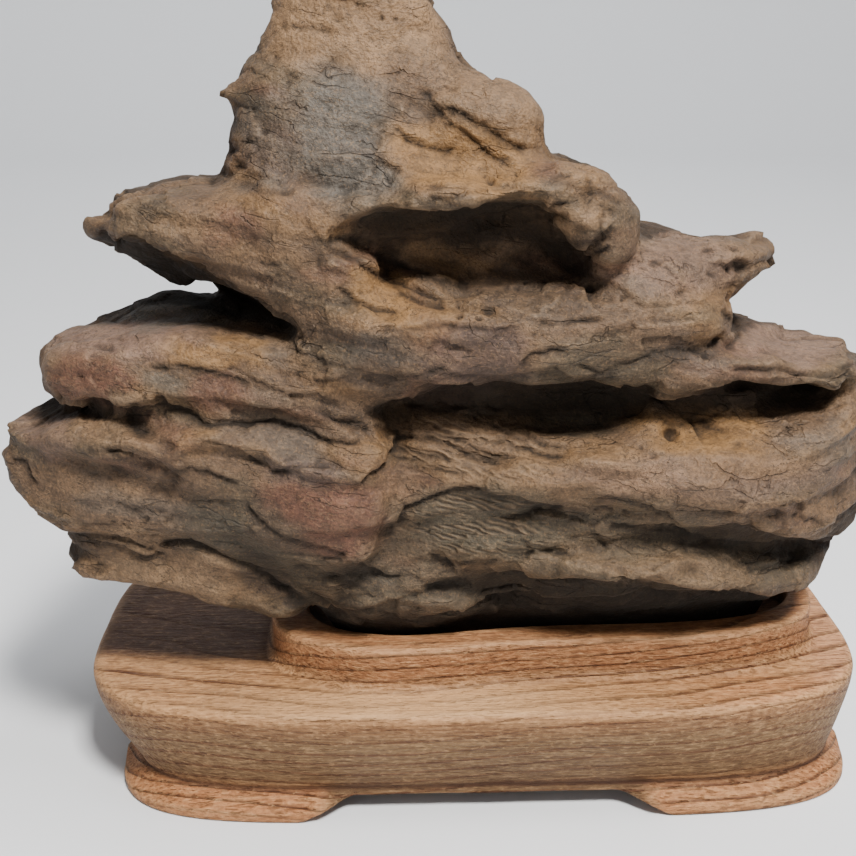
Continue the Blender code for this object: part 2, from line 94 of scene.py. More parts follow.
def blend(first: Array, second: Array, share: Array) -> Array:
    """Returns first where share is 0, second where it is 1, and a straight mix between."""
    return first + (second - first) * share


def lay(under: Array, colour: Colour, share: Array) -> Array:
    """Lays one colour over a colour for each point, by its share there."""
    return blend(under, np.array(colour), share[:, None])


def bell(distance: Array, width: float) -> Array:
    """Returns a bell curve: e to the power of minus the square of distance over width."""
    return np.exp(-(distance / width) ** 2)


def stronger(first: Array, second: Array) -> Array:
    """Returns whichever of two values is further from 0, the first where they are equal."""
    return np.where(np.abs(second) > np.abs(first), second, first)


# ---- Fields of noise over points ---------------------------------------------------

def scramble(cells: Array, seed: int) -> Array:
    """Turns whole-number cells into well mixed 32-bit numbers.

    Args:
        cells: Whole numbers, three to a row.
        seed: A number that picks one of many patterns.

    Returns:
        One unsigned number for each row.
    """
    wide = cells.astype(np.int64).astype(np.uint32)
    mixed = wide[:, 0] * np.uint32(374761393)
    mixed ^= wide[:, 1] * np.uint32(668265263)
    mixed ^= wide[:, 2] * np.uint32(2246822519)
    mixed += np.uint32((seed * 3266489917) % 4294967296)
    for shift, factor in ((15, 2246822519), (13, 3266489917), (16, 668265263)):
        mixed ^= mixed >> np.uint32(shift)
        mixed *= np.uint32(factor)
    return mixed ^ (mixed >> np.uint32(15))


def unit_share(mixed: Array, part: int) -> Array:
    """Returns one of three independent numbers from -1 to 1 out of each mixed number."""
    return ((mixed >> np.uint32(10 * part)) & np.uint32(1023)).astype(np.float64) / 511.5 - 1.0


def unit_shares(mixed: Array) -> Array:
    """Returns all three independent numbers of each mixed number, three to a row."""
    return np.stack([unit_share(mixed, part) for part in range(3)], axis=1)


def smooth_noise(points: Array, seed: int) -> Array:
    """Gradient noise: a random slope in each corner of a unit grid, faded together.

    Args:
        points: Positions in units of the grid, three to a row.
        seed: A number that picks one of many patterns.

    Returns:
        One value for each point, mostly between -1 and 1, with a mean near 0.
    """
    floor = np.floor(points)
    inside = points - floor
    fade = inside ** 3 * (inside * (inside * 6.0 - 15.0) + 10.0)
    total = np.zeros(len(points))
    for corner in np.ndindex(2, 2, 2):
        step = np.array(corner, dtype=np.float64)
        mixed = scramble(floor + step, seed)
        offset = inside - step
        slope = sum(unit_share(mixed, part) * offset[:, part] for part in range(3))
        weight = np.prod(np.where(step > 0.5, fade, 1.0 - fade), axis=1)
        total += slope * weight
    return total * 1.6


def rough_noise(points: Array, octaves: int, seed: int, gain: float = 0.5) -> Array:
    """Adds up smooth noise, each layer twice as fine as the last and weaker by gain."""
    total = np.zeros(len(points))
    weight = 1.0
    for octave in range(octaves):
        total += weight * smooth_noise(points * 2.0 ** octave, seed + 17 * octave)
        weight *= gain
    return total


def wander(points: Array, octaves: int, seed: int) -> Array:
    """Returns two independent rough noises, two to a row, that bend places on the front."""
    return np.stack([rough_noise(points, octaves, seed + part) for part in range(2)], axis=1)


@dataclass(frozen=True)
class Cells:
    """The nearest seed point of a jittered unit grid, for every point.

    Attributes:
        near: Distance to the nearest seed point.
        offset: From the nearest seed point to the point.
        mixed: The well mixed number of the nearest seed point.
    """

    near: Array
    offset: Array
    mixed: Array


def cell_field(points: Array, seed: int, jitter: float = 0.42) -> Cells:
    """Finds the nearest seed point among the 27 grid cells round each point.

    Args:
        points: Positions in units of the grid, three to a row.
        seed: A number that picks one of many patterns.
        jitter: How far a seed point may lie from the middle of its cell.

    Returns:
        The cells that the points lie in.
    """
    floor = np.floor(points)
    near = np.full(len(points), np.inf)
    offset = np.zeros_like(points)
    owner = np.zeros(len(points), dtype=np.uint32)
    for corner in np.ndindex(3, 3, 3):
        cell = floor + np.array(corner, dtype=np.float64) - 1.0
        mixed = scramble(cell, seed)
        away = points - (cell + (unit_shares(mixed) * jitter + 0.5))
        reach = np.linalg.norm(away, axis=1)
        closer = reach < near
        near[closer] = reach[closer]
        offset[closer] = away[closer]
        owner[closer] = mixed[closer]
    return Cells(near, offset, owner)


# ---- Meshes ------------------------------------------------------------------------

def read_rows(items: bpy.types.bpy_prop_collection, name: str, width: int,
              kind: type = float) -> Array:
    """Returns one property of all of a mesh's items, width numbers to a row."""
    flat = np.empty(len(items) * width, dtype=kind)
    items.foreach_get(name, flat)
    return flat.reshape(-1, width)


def read_points(mesh: bpy.types.Mesh) -> Array:
    """Returns a mesh's points in millimetres, three to a row."""
    return read_rows(mesh.vertices, "co", 3) / MM


def write_points(mesh: bpy.types.Mesh, points: Array) -> None:
    """Puts points in millimetres back into a mesh."""
    mesh.vertices.foreach_set("co", (points * MM).ravel())
    mesh.update()


def read_normals(mesh: bpy.types.Mesh) -> Array:
    """Returns the outward direction at each point of a mesh."""
    return read_rows(mesh.vertex_normals, "vector", 3)


def read_edges(mesh: bpy.types.Mesh) -> Array:
    """Returns the two point numbers of each edge."""
    return read_rows(mesh.edges, "vertices", 2, np.int64)


def neighbour_mean(values: Array, edges: Array) -> Array:
    """Returns the mean of each point's neighbours along the edges.

    Args:
        values: One row of numbers for each point.
        edges: The two point numbers of each edge.

    Returns:
        As many rows, each the mean of the neighbours' rows.
    """
    count = len(values)
    ends = np.concatenate((edges[:, 0], edges[:, 1]))
    others = np.concatenate((edges[:, 1], edges[:, 0]))
    shares = np.maximum(np.bincount(ends, minlength=count), 1)
    sums = [np.bincount(ends, weights=column[others], minlength=count) for column in values.T]
    return np.stack(sums, axis=1) / shares[:, None]


def even_out(values: Array, edges: Array, rounds: int, pull: float = 0.6) -> Array:
    """Moves each row towards its neighbours' mean by the share pull, round after round."""
    for _ in range(rounds):
        values = values + pull * (neighbour_mean(values, edges) - values)
    return values


def soften(points: Array, edges: Array, rounds: int) -> Array:
    """Smooths facets away and keeps thin tips: each pull in is followed by a push out."""
    for _ in range(rounds):
        points = even_out(points, edges, 1, 0.6)
        points = even_out(points, edges, 1, -0.62)
    return points


def hollowness(points: Array, normals: Array, edges: Array, rounds: int) -> Array:
    """Returns how far the surface, evened out over some rounds, lies above each point."""
    return np.sum((even_out(points, edges, rounds) - points) * normals, axis=1)


def store_share(mesh: bpy.types.Mesh, name: str, values: Array) -> None:
    """Keeps one number for each point in a mesh attribute."""
    layer = mesh.attributes.new(name, "FLOAT", "POINT")
    layer.data.foreach_set("value", values.astype(np.float32))


def store_colour(mesh: bpy.types.Mesh, name: str, colours: Array) -> None:
    """Keeps one colour for each point in a mesh attribute."""
    layer = mesh.attributes.new(name, "FLOAT_COLOR", "POINT")
    filled = np.concatenate((colours, np.ones((len(colours), 1))), axis=1)
    layer.data.foreach_set("color", filled.astype(np.float32).ravel())


def add_object(name: str, mesh: bpy.types.Mesh) -> bpy.types.Object:
    """Puts a mesh into the scene, smooth shaded, at the origin."""
    mesh.polygons.foreach_set("use_smooth", np.ones(len(mesh.polygons), dtype=bool))
    piece = bpy.data.objects.new(name, mesh)
    bpy.context.scene.collection.objects.link(piece)
    return piece


def through_modifier(name: str, mesh: bpy.types.Mesh, kind: str,
                     **values: object) -> bpy.types.Mesh:
    """Runs a mesh through one modifier and returns the result.

    Args:
        name: The new mesh's name.
        mesh: The mesh to change, which is removed.
        kind: The modifier's type.
        **values: The modifier's settings.

    Returns:
        The changed mesh.
    """
    carrier = bpy.data.objects.new(name, mesh)
    bpy.context.scene.collection.objects.link(carrier)
    modifier = carrier.modifiers.new(kind.lower(), kind)
    for setting, value in values.items():
        setattr(modifier, setting, value)
    evaluated = carrier.evaluated_get(bpy.context.evaluated_depsgraph_get())
    result = bpy.data.meshes.new_from_object(evaluated)
    bpy.data.objects.remove(carrier)
    bpy.data.meshes.remove(mesh)
    result.name = name
    return result


def solid_copy(node: str) -> bpy.types.Mesh:
    """Returns a copy of a solid's mesh with its loose triangles joined."""
    mesh = bpy.data.objects[node].data.copy()
    mesh.materials.clear()
    shape = bmesh.new()
    shape.from_mesh(mesh)
    bmesh.ops.remove_doubles(shape, verts=shape.verts, dist=0.002 * MM)
    shape.to_mesh(mesh)
    shape.free()
    return mesh


def ring_mesh(name: str, rings: Array) -> bpy.types.Mesh:
    """Joins rings of points into one closed surface with its faces outwards.

    Point (i, j) is point j of ring i. Each ring is joined to the next by a band of
    four-sided faces, and the first and last are closed on their own middle points.

    Args:
        name: The mesh's name.
        rings: Ring, place and axis: an array of three dimensions, in millimetres.

    Returns:
        The closed mesh.
    """
    count, columns = rings.shape[:2]
    here = np.arange(columns)
    after = (here + 1) % columns
    starts = (np.arange(count - 1) * columns)[:, None]
    bands = np.stack((starts + here, starts + after, starts + columns + after,
                      starts + columns + here), axis=2).reshape(-1, 4)
    first, last = count * columns, count * columns + 1
    top = (count - 1) * columns
    low_cap = np.stack((after, here, np.full(columns, first)), axis=1)
    high_cap = np.stack((top + here, top + after, np.full(columns, last)), axis=1)
    middles = np.stack((rings[0].mean(axis=0), rings[-1].mean(axis=0)))
    points = np.concatenate((rings.reshape(-1, 3), middles))
    mesh = bpy.data.meshes.new(name)
    mesh.from_pydata((points * MM).tolist(), [],
                     bands.tolist() + low_cap.tolist() + high_cap.tolist())
    shape = bmesh.new()
    shape.from_mesh(mesh)
    bmesh.ops.recalc_face_normals(shape, faces=shape.faces)
    shape.to_mesh(mesh)
    shape.free()
    return mesh


# ---- Shader sums -------------------------------------------------------------------

class Signal:
    """A number that varies over a surface: a socket that adds Math nodes when used in sums."""

    def __init__(self, sheet: "NodeSheet", socket: bpy.types.NodeSocket) -> None:
        """Wraps a socket of a sheet."""
        self.sheet = sheet
        self.socket = socket

    def __add__(self, other: "Term") -> "Signal":
        """Returns this plus other."""
        return self.sheet.sum("ADD", self, other)

    def __radd__(self, other: "Term") -> "Signal":
        """Returns other plus this."""
        return self.sheet.sum("ADD", other, self)

    def __sub__(self, other: "Term") -> "Signal":
        """Returns this less other."""
        return self.sheet.sum("SUBTRACT", self, other)

    def __rsub__(self, other: "Term") -> "Signal":
        """Returns other less this."""
        return self.sheet.sum("SUBTRACT", other, self)

    def __mul__(self, other: "Term") -> "Signal":
        """Returns this times other."""
        return self.sheet.sum("MULTIPLY", self, other)

    def ramp(self, low: float, high: float, start: float = 0.0, end: float = 1.0) -> "Signal":
        """Returns a smooth change from start, at low, to end, at high."""
        node = self.sheet.add(
            "ShaderNodeMapRange", {"interpolation_type": "SMOOTHSTEP", "clamp": True},
            {"Value": self, "From Min": low, "From Max": high, "To Min": start, "To Max": end})
        return Signal(self.sheet, node.outputs["Result"])


Term = Union[Signal, float]


class NodeSheet:
    """The node tree of one material, with short calls for the nodes that finishes use."""

    def __init__(self, name: str) -> None:
        """Makes an empty material with its output and one shader."""
        self.material = bpy.data.materials.new(name)
        self.material.use_nodes = True
        self.tree = self.material.node_tree
        self.tree.nodes.clear()
        self.shader = self.add("ShaderNodeBsdfPrincipled")
        output = self.add("ShaderNodeOutputMaterial")
        self.tree.links.new(self.shader.outputs["BSDF"], output.inputs["Surface"])

    def add(self, kind: str, settings: Optional[dict] = None,
            inputs: Optional[dict] = None) -> bpy.types.Node:
        """Adds one node.

        Args:
            kind: The node's type.
            settings: The node's own settings, set before its sockets.
            inputs: Values or signals for its sockets, by name or number.

        Returns:
            The node.
        """
        node = self.tree.nodes.new(kind)
        for setting, value in (settings or {}).items():
            setattr(node, setting, value)
        for key, value in (inputs or {}).items():
            self.feed(node.inputs[key], value)
        return node

    def feed(self, socket: bpy.types.NodeSocket, value: object) -> None:
        """Links a signal or a socket to a socket, or sets a plain value on it."""
        if isinstance(value, Signal):
            self.tree.links.new(value.socket, socket)
        elif isinstance(value, bpy.types.NodeSocket):
            self.tree.links.new(value, socket)
        elif isinstance(value, tuple) and len(value) == 3 and socket.type == "RGBA":
            socket.default_value = (*value, 1.0)
        else:
            socket.default_value = value

    def sum(self, operation: str, first: Term, second: Term = 0.0) -> Signal:
        """Adds one Math node and returns its result."""
        node = self.add("ShaderNodeMath", {"operation": operation}, {0: first, 1: second})
        return Signal(self, node.outputs[0])

    def place(self) -> bpy.types.NodeSocket:
        """Returns the object coordinates, in metres."""
        return self.add("ShaderNodeTexCoord").outputs["Object"]

    def axes(self, vector: bpy.types.NodeSocket) -> tuple[Signal, Signal, Signal]:
        """Returns the three parts of a vector."""
        node = self.add("ShaderNodeSeparateXYZ", inputs={0: vector})
        return tuple(Signal(self, socket) for socket in node.outputs)

    def vector(self, x: Term, y: Term, z: Term) -> bpy.types.NodeSocket:
        """Returns a vector made of three numbers."""
        return self.add("ShaderNodeCombineXYZ", inputs={0: x, 1: y, 2: z}).outputs[0]

    def noise(self, vector: bpy.types.NodeSocket, scale: float, detail: float = 2.0,
              roughness: float = 0.5) -> Signal:
        """Returns noise of 0 to 1 at a vector, with scale features to the metre."""
        node = self.add("ShaderNodeTexNoise", {"noise_dimensions": "3D"},
                        {"Vector": vector, "Scale": scale, "Detail": detail,
                         "Roughness": roughness})
        return Signal(self, node.outputs["Fac"])

    def stretched(self, parts: tuple[Signal, Signal, Signal], scales: Place, detail: float = 2.0,
                  roughness: float = 0.5) -> Signal:
        """Returns noise of 0 to 1 over three signals, each times its own scale."""
        vector = self.vector(*(part * scale for part, scale in zip(parts, scales)))
        return self.noise(vector, 1.0, detail, roughness)

    def cells(self, vector: bpy.types.NodeSocket, scale: float, feature: str = "F1") -> Signal:
        """Returns the distance to the nearest of many scattered points, or to a cell's edge."""
        node = self.add("ShaderNodeTexVoronoi", {"feature": feature},
                        {"Vector": vector, "Scale": scale})
        return Signal(self, node.outputs["Distance"])

    def share(self, name: str) -> Signal:
        """Returns a number that the mesh keeps for each point."""
        node = self.add("ShaderNodeAttribute", {"attribute_name": name})
        return Signal(self, node.outputs["Fac"])

    def colour(self, name: str) -> bpy.types.NodeSocket:
        """Returns a colour that the mesh keeps for each point."""
        return self.add("ShaderNodeAttribute", {"attribute_name": name}).outputs["Color"]

    def mix(self, share: Term, first: object, second: object) -> bpy.types.NodeSocket:
        """Mixes two colours.

        Args:
            share: 0 for the first colour, 1 for the second.
            first: A colour or a socket.
            second: A colour or a socket.

        Returns:
            The mixed colour's socket.
        """
        node = self.add("ShaderNodeMix", {"data_type": "RGBA"}, {0: share, 6: first, 7: second})
        return node.outputs[2]

    def lay(self, colour: bpy.types.NodeSocket,
            *coats: tuple[Signal, Colour]) -> bpy.types.NodeSocket:
        """Lays coats over a colour, one after the other, each by its own share."""
        for share, coat in coats:
            colour = self.mix(share, colour, coat)
        return colour

    def times(self, colour: bpy.types.NodeSocket, factor: float) -> bpy.types.NodeSocket:
        """Returns a colour made brighter or darker by one factor."""
        return self.add("ShaderNodeVectorMath", {"operation": "SCALE"},
                        {0: colour, "Scale": factor}).outputs[0]

    def dress(self, colour: bpy.types.NodeSocket, rough: Signal, specular: float, height: Signal,
              depth: float) -> bpy.types.Material:
        """Feeds the shader and returns the material.

        Args:
            colour: The base colour.
            rough: The roughness.
            specular: How strongly the surface reflects.
            height: A fine relief.
            depth: The relief's full height, in metres.

        Returns:
            The material.
        """
        inputs = self.shader.inputs
        self.feed(inputs["Base Color"], colour)
        self.feed(inputs["Roughness"], rough)
        inputs["Specular IOR Level"].default_value = specular
        bump = self.add("ShaderNodeBump", inputs={"Strength": 1.0, "Distance": depth,
                                                  "Height": height})
        self.feed(inputs["Normal"], bump.outputs["Normal"])
        return self.material


# ---- Finishes ----------------------------------------------------------------------

@dataclass(frozen=True)
class SandstoneFinish:
    """Matt brown sandstone: the mesh's tints, fine beds, grains, dark hollows and lightened edges.

    The hollows are darkened by dirt and painted shade, the edges lightened by wear and painted
    highlights; the tints hold painted shade under the wings.

    Attributes:
        hollow: The colour of dirt in hollows and cracks, and of the painted shade in caves, under
            lips and overhangs and towards the foot.
        worn: The colour of worn edges, and of the painted highlights above the drawn lips and on
            ridges and knobs.
        streak: The colour of dark beds.
        pale_streak: The colour of pale beds and grains.
        speck: The colour of dark grains.
        flake: The height of one flake, as a share of the flakes' noise.
        ripple_pitch: The width of one ripple, in metres.
        relief: The full height of the fine relief, in metres.
    """

    hollow: Colour = paint(24, 18, 12)
    worn: Colour = paint(142, 116, 88)
    streak: Colour = paint(66, 46, 32)
    pale_streak: Colour = paint(140, 108, 74)
    speck: Colour = paint(34, 26, 18)
    flake: float = 0.055
    ripple_pitch: float = 0.00145
    relief: float = 0.0016

    def build(self) -> bpy.types.Material:
        """Returns the material.

        The colour is the mesh's own tint, which holds painted shade under the wings. Fine beds
        lie along the mesh's bedding level and darken or warm it, grains speckle it, hollows darken
        it with dirt and painted shade, and edges lighten it with wear and painted highlights.
        Flakes are the whole steps of a stretched noise, and splits the borders of stretched cells.
        """
        sheet = NodeSheet("brown_sandstone")
        place = sheet.place()
        x, y, z = sheet.axes(place)
        bed, cavity_dirt_and_shade, edge, ripple = map(sheet.share, ("bed", "cavity_dirt_and_shade", "edge", "ripple"))
        layers = (x, y, bed)
        streaks = sheet.stretched(layers, (45.0, 45.0, 0.42), 4.0, 0.6)
        fine_streaks = sheet.stretched(layers, (130.0, 130.0, 1.5), 3.0, 0.55)
        mottle = sheet.noise(place, 95.0, 4.0, 0.62)
        pebble = sheet.noise(place, 420.0, 3.0, 0.6)
        grain = sheet.noise(place, 1500.0, 2.0, 0.6)
        flecks = sheet.cells(place, 620.0)
        flake_field = sheet.stretched(layers, (48.0, 48.0, 0.11), 5.0, 0.58)
        flakes = sheet.sum("SNAP", flake_field, self.flake)
        rim = (flake_field - flakes) * (1.0 / self.flake)
        flake_line = rim.ramp(0.2, 0.02) * mottle.ramp(0.4, 0.55)
        warp = sheet.noise(place, 160.0, 2.0)
        slant = (z * 0.93 + x * 0.36 + warp * 0.003) * (2.0 * math.pi / self.ripple_pitch)
        waves = sheet.sum("SINE", slant) * 0.5 + 0.5
        dashes = sheet.stretched((x, y, z), (110.0, 110.0, 420.0)).ramp(0.42, 0.6)
        rippled = waves * dashes * ripple
        bent = sheet.vector(x * 48.0 + mottle * 0.8, y * 48.0 + warp * 0.8,
                            bed * 0.22 + mottle * 0.8)
        split = sheet.cells(bent, 1.0, "DISTANCE_TO_EDGE")
        splits = split.ramp(0.035, 0.006) * sheet.noise(place, 75.0, 4.0).ramp(0.5, 0.64)

        colour = sheet.lay(
            sheet.colour("tint"),
            (streaks.ramp(0.46, 0.72) * 0.3, self.streak),
            (fine_streaks.ramp(0.55, 0.75) * 0.10, self.pale_streak),
            (fine_streaks.ramp(0.42, 0.26) * 0.16, self.speck))
        colour = sheet.mix(mottle.ramp(0.34, 0.68, 0.0, 0.75), colour, sheet.times(colour, 1.32))
        colour = sheet.lay(
            colour,
            (pebble.ramp(0.38, 0.58, 0.3, 0.0), self.speck),
            (grain.ramp(0.36, 0.52, 0.3, 0.0), self.speck),
            (grain.ramp(0.56, 0.7, 0.0, 0.3), self.pale_streak),
            (flecks.ramp(0.22, 0.08) * mottle.ramp(0.5, 0.62) * 0.5, self.speck),
            (flake_line * 0.6, self.hollow),
            (rim.ramp(0.7, 1.0) * mottle.ramp(0.42, 0.6) * 0.25, self.worn),
            (rippled * 0.45, self.hollow),
            ((1.0 - waves) * dashes * ripple * 0.3, self.worn),
            (splits * 0.3, self.hollow),
            # Worn edges, with painted highlights above the drawn lips and on ridges and knobs.
            (edge * (0.1 + grain * 0.4), self.worn),
            # Dirt in hollows, and painted shade in caves, under lips and overhangs and towards the
            # foot.
            (cavity_dirt_and_shade * (0.62 + mottle * 0.45), self.hollow))
        rough = 0.6 + grain * 0.16 + cavity_dirt_and_shade * 0.2 - edge * 0.08
        height = (streaks * 0.1 + fine_streaks * 0.05 + mottle * 0.5 + pebble * 0.55 + grain * 0.16
                  - rippled * 0.3 + flakes * 4.2 - splits * 0.35)
        return sheet.dress(colour, rough, 0.3, height, self.relief)


@dataclass(frozen=True)
class OiledHardwoodFinish:
    """Tan oiled hardwood: growth rings round an axis along the stand, open pores, wear, dirt and
    painted shade.

    Attributes:
        late_wood: The colour of each ring's dark last part.
        pore: The colour of the open pores.
        pale: The colour of worn and bleached wood.
        grime_and_shade: The colour of settled dirt, and of the painted shade in the crease above
            the feet and under downward faces.
        axis_depth: How far the rings' middle lies behind the deck's middle, in metres.
        axis_height: How far it lies above the table, in metres.
        ring_pitch: The width of one ring, in metres.
        relief: The full height of the fine relief, in metres.
    """

    late_wood: Colour = paint(86, 50, 26)
    pore: Colour = paint(80, 48, 28)
    pale: Colour = paint(206, 164, 118)
    grime_and_shade: Colour = paint(62, 38, 24)
    axis_depth: float = 0.016
    axis_height: float = 0.150
    ring_pitch: float = 0.0034
    relief: float = 0.0006

    def build(self) -> bpy.types.Material:
        """Returns the material.

        A point's ring number is its distance from a line along the stand, bent slowly by
        noise, over the rings' pitch. Late wood is the dark last part of each ring.
        """
        sheet = NodeSheet("oiled_hardwood")
        place = sheet.place()
        axes = x, y, z = sheet.axes(place)
        bend = sheet.stretched(axes, (5.0, 9.0, 9.0))
        wobble = sheet.stretched(axes, (22.0, 60.0, 60.0))
        across = y - self.axis_depth
        above = self.axis_height - z + x * x * 0.9
        reach = sheet.sum("SQRT", across * across + above * above)
        ring = (reach + bend * 0.030 + wobble * 0.0022) * (1.0 / self.ring_pitch)
        in_ring = sheet.sum("FRACT", ring)
        late = in_ring.ramp(0.62, 0.93) * in_ring.ramp(1.0, 0.95)
        strong = sheet.stretched((x, y, ring), (4.0, 4.0, 0.45))
        fibre = sheet.stretched(axes, (60.0, 1500.0, 1500.0), 3.0, 0.6)
        pores = sheet.stretched(axes, (230.0, 1750.0, 1750.0), 1.0)
        fuzz = sheet.stretched(axes, (520.0, 1100.0, 1100.0), 3.0, 0.65)
        cloud = sheet.noise(place, 26.0, 3.0)
        pored = pores.ramp(0.57, 0.67) * (0.25 + late * 0.35 + strong * 0.4)
        wear = sheet.share("wear")
        grime_and_shade = sheet.share("grime_and_shade")

        colour = sheet.lay(
            sheet.colour("tint"),
            (late * strong.ramp(0.3, 0.55), self.late_wood),
            (fibre.ramp(0.4, 0.75) * 0.3, self.pale),
            (fibre.ramp(0.5, 0.25) * 0.5, self.late_wood))
        colour = sheet.mix(cloud.ramp(0.4, 0.65) * 0.4, colour, sheet.times(colour, 0.66))
        colour = sheet.lay(
            colour,
            (pored * 0.7, self.pore),
            (fuzz.ramp(0.34, 0.56, 0.38, 0.0), self.pore),
            (fuzz.ramp(0.54, 0.7, 0.0, 0.3), self.pale),
            (wear * (0.3 + cloud * 0.5), self.pale),
            # Settled dirt, and painted shade in the crease and under downward faces.
            (grime_and_shade * (0.72 + cloud * 0.4), self.grime_and_shade))
        rough = 0.62 + pored * 0.2 + grime_and_shade * 0.2 - cloud * 0.1
        height = fibre * 0.4 + late * 0.18 - pored + cloud * 0.3 + fuzz * 0.9
        return sheet.dress(colour, rough, 0.22, height, self.relief)


@dataclass(frozen=True)
class StudioFloorFinish:
    """A plain pale matt sheet."""

    colour: Colour = paint(226, 227, 229)

    def build(self) -> bpy.types.Material:
        """Returns the material."""
        sheet = NodeSheet("studio_floor")
        sheet.shader.inputs["Base Color"].default_value = (*self.colour, 1.0)
        sheet.shader.inputs["Roughness"].default_value = 0.85
        return sheet.material


# ---- The stone's front -------------------------------------------------------------

class Cut(Enum):
    """How a drawn line is pressed into the stone."""

    CRACK = "a narrow slit"
    LEDGE = "a lip above the line with an undercut below it"
    SHELF = "a shelf that stands out below the line"
    FOLD = "a wide soft trough, or a ridge where its depth is negative"


class Tint(Enum):
    """The stone's natural colours, and the darkest one, a painted shade for undersides."""

    BROWN = paint(90, 70, 52)
    SAND = paint(122, 95, 68)
    OCHRE = paint(124, 92, 56)
    SLATE = paint(84, 79, 72)
    OLIVE = paint(60, 54, 42)
    MOSS = paint(70, 63, 49)
    UMBER = paint(54, 43, 34)
    RUST = paint(90, 60, 46)
    ROSE = paint(114, 90, 76)
    PLUM = paint(74, 58, 52)
    # Painted shade: the dark of the undersides of the wings and the low slab.
    SOOT = paint(40, 33, 30)



@dataclass(frozen=True)
class FrontSheet:
    """The upright sheet on which the front's features are drawn.

    A point of the stone is carried to the sheet along the straight line from the eye
    through the point. Places on the sheet are millimetres across and up.

    Attributes:
        eye: The eye's place, from the middle of the stand's deck at table level.
        depth: How far the sheet stands behind that middle; negative is in front.
    """

    eye: tuple[float, float, float] = (-22.4, -304.0, 204.0)
    depth: float = -30.0

    def carry(self, points: Array) -> Array:
        """Returns the points' places on the sheet: the eye plus the ray's share up to it."""
        ray = points - np.array(self.eye)
        share = (self.depth - self.eye[1]) / ray[:, 1]
        return np.stack((self.eye[0] + ray[:, 0] * share, self.eye[2] + ray[:, 2] * share), axis=1)

    def facing(self, points: Array, normals: Array) -> Array:
        """Returns 1 where the surface looks at the eye, falling to 0 where it turns away."""
        ray = np.array(self.eye) - points
        ray /= np.linalg.norm(ray, axis=1)[:, None]
        return ease(np.sum(ray * normals, axis=1), -0.15, 0.2)


@dataclass(frozen=True)
class Stroke:
    """A line on the front sheet that is pressed into the stone.

    Attributes:
        cut: How the line is pressed in.
        depth: How deep, in millimetres.
        path: Its corners on the front sheet.
        reach: How far from its corners' box it can be felt.
    """

    cut: Cut
    depth: float
    path: tuple[tuple[float, float], ...]
    reach: float = 9.0

    @classmethod
    def rows(cls, cut: Cut, *rows: tuple[float, ...]) -> list["Stroke"]:
        """Returns strokes of one kind, each from a row: its depth, then its corners."""
        return [cls(cut, row[0], tuple(zip(row[1::2], row[2::2]))) for row in rows]

    def measure(self, places: Array) -> tuple[Array, Array, float]:
        """Measures places against the line.

        Args:
            places: Places on the front sheet.

        Returns:
            The distance to the nearest of the line's segments, positive above the line and
            negative below it; how far along the line that is; and the line's length.
        """
        line = np.array(self.path)
        distance = np.full(len(places), np.inf)
        side = np.ones(len(places))
        along = np.zeros(len(places))
        done = 0.0
        for start, step in zip(line[:-1], np.diff(line, axis=0)):
            length = np.linalg.norm(step)
            share = np.clip((places - start) @ step / length ** 2, 0.0, 1.0)
            away = places - (start + share[:, None] * step)
            gap = np.linalg.norm(away, axis=1)
            closer = gap < distance
            distance = np.where(closer, gap, distance)
            cross = (step[0] * away[:, 1] - step[1] * away[:, 0]) * np.sign(step[0] + 1e-9)
            side = np.where(closer, np.where(cross >= 0.0, 1.0, -1.0), side)
            along = np.where(closer, done + share * length, along)
            done += length
        return distance * side, along, done

    def press(self, places: Array) -> tuple[Array, Array, Array]:
        """Works out how far the line pushes the skin in or out.

        A crack is a bell curve of the distance, a fold a wider one. A ledge falls off on
        both sides, out above and in below, with a short smooth step between. A shelf is a
        ledge turned over. All taper to nothing at their ends.

        Args:
            places: Places on the front sheet.

        Returns:
            The numbers of the points it reaches, their push outwards and their painted shade,
            negative where it is a painted highlight.
        """
        line = np.array(self.path)
        near = np.flatnonzero(np.all((places > line.min(axis=0) - self.reach)
                                     & (places < line.max(axis=0) + self.reach), axis=1))
        signed, along, length = self.measure(places[near])
        taper = ease(along, -0.5, 2.5) * ease(length - along, -0.5, 2.5)
        if self.cut is Cut.CRACK:
            push = -self.depth * bell(signed, 0.75)
            shade = bell(signed, 0.9)
        elif self.cut is Cut.FOLD:
            push = -self.depth * bell(signed, 2.6)
            # Painted shade in a trough, a painted highlight on a ridge.
            shade = bell(signed, 2.2) * (0.45 if self.depth > 0.0 else -0.35)
        else:
            signed = -signed if self.cut is Cut.SHELF else signed
            above = 0.24 * np.exp(-np.maximum(signed, 0.0) / 2.6)
            below = -0.8 * np.exp(-np.maximum(-signed, 0.0) / 1.5)
            push = self.depth * blend(below, above, ease(signed, -0.4, 0.4))
            # Painted shadow just below the lip, and a weaker painted highlight above it.
            shade = 0.9 * bell(signed + 0.6, 1.0) - 0.25 * bell(signed - 1.3, 1.0)
        return near, push * taper, shade * taper * min(1.0, abs(self.depth) / 1.3)


@dataclass(frozen=True)
class Pit:
    """A round hole on the front sheet, or a lump where its depth is negative.

    Attributes:
        centre: Its middle on the front sheet.
        radius: Its radius in millimetres.
        depth: Its depth in millimetres.
    """

    centre: tuple[float, float]
    radius: float
    depth: float

    def press(self, places: Array) -> tuple[Array, Array]:
        """Returns the push outwards, a bell curve of the distance to the middle, and the painted
        shade: dark in a hole, a painted highlight on a knob.
        """
        gap = np.linalg.norm((places - np.array(self.centre)) * np.array([0.85, 1.15]), axis=1)
        bell = np.exp(-(gap / (self.radius * 0.85)) ** 4)
        return -self.depth * bell, bell * (0.8 if self.depth > 0.0 else -0.25)


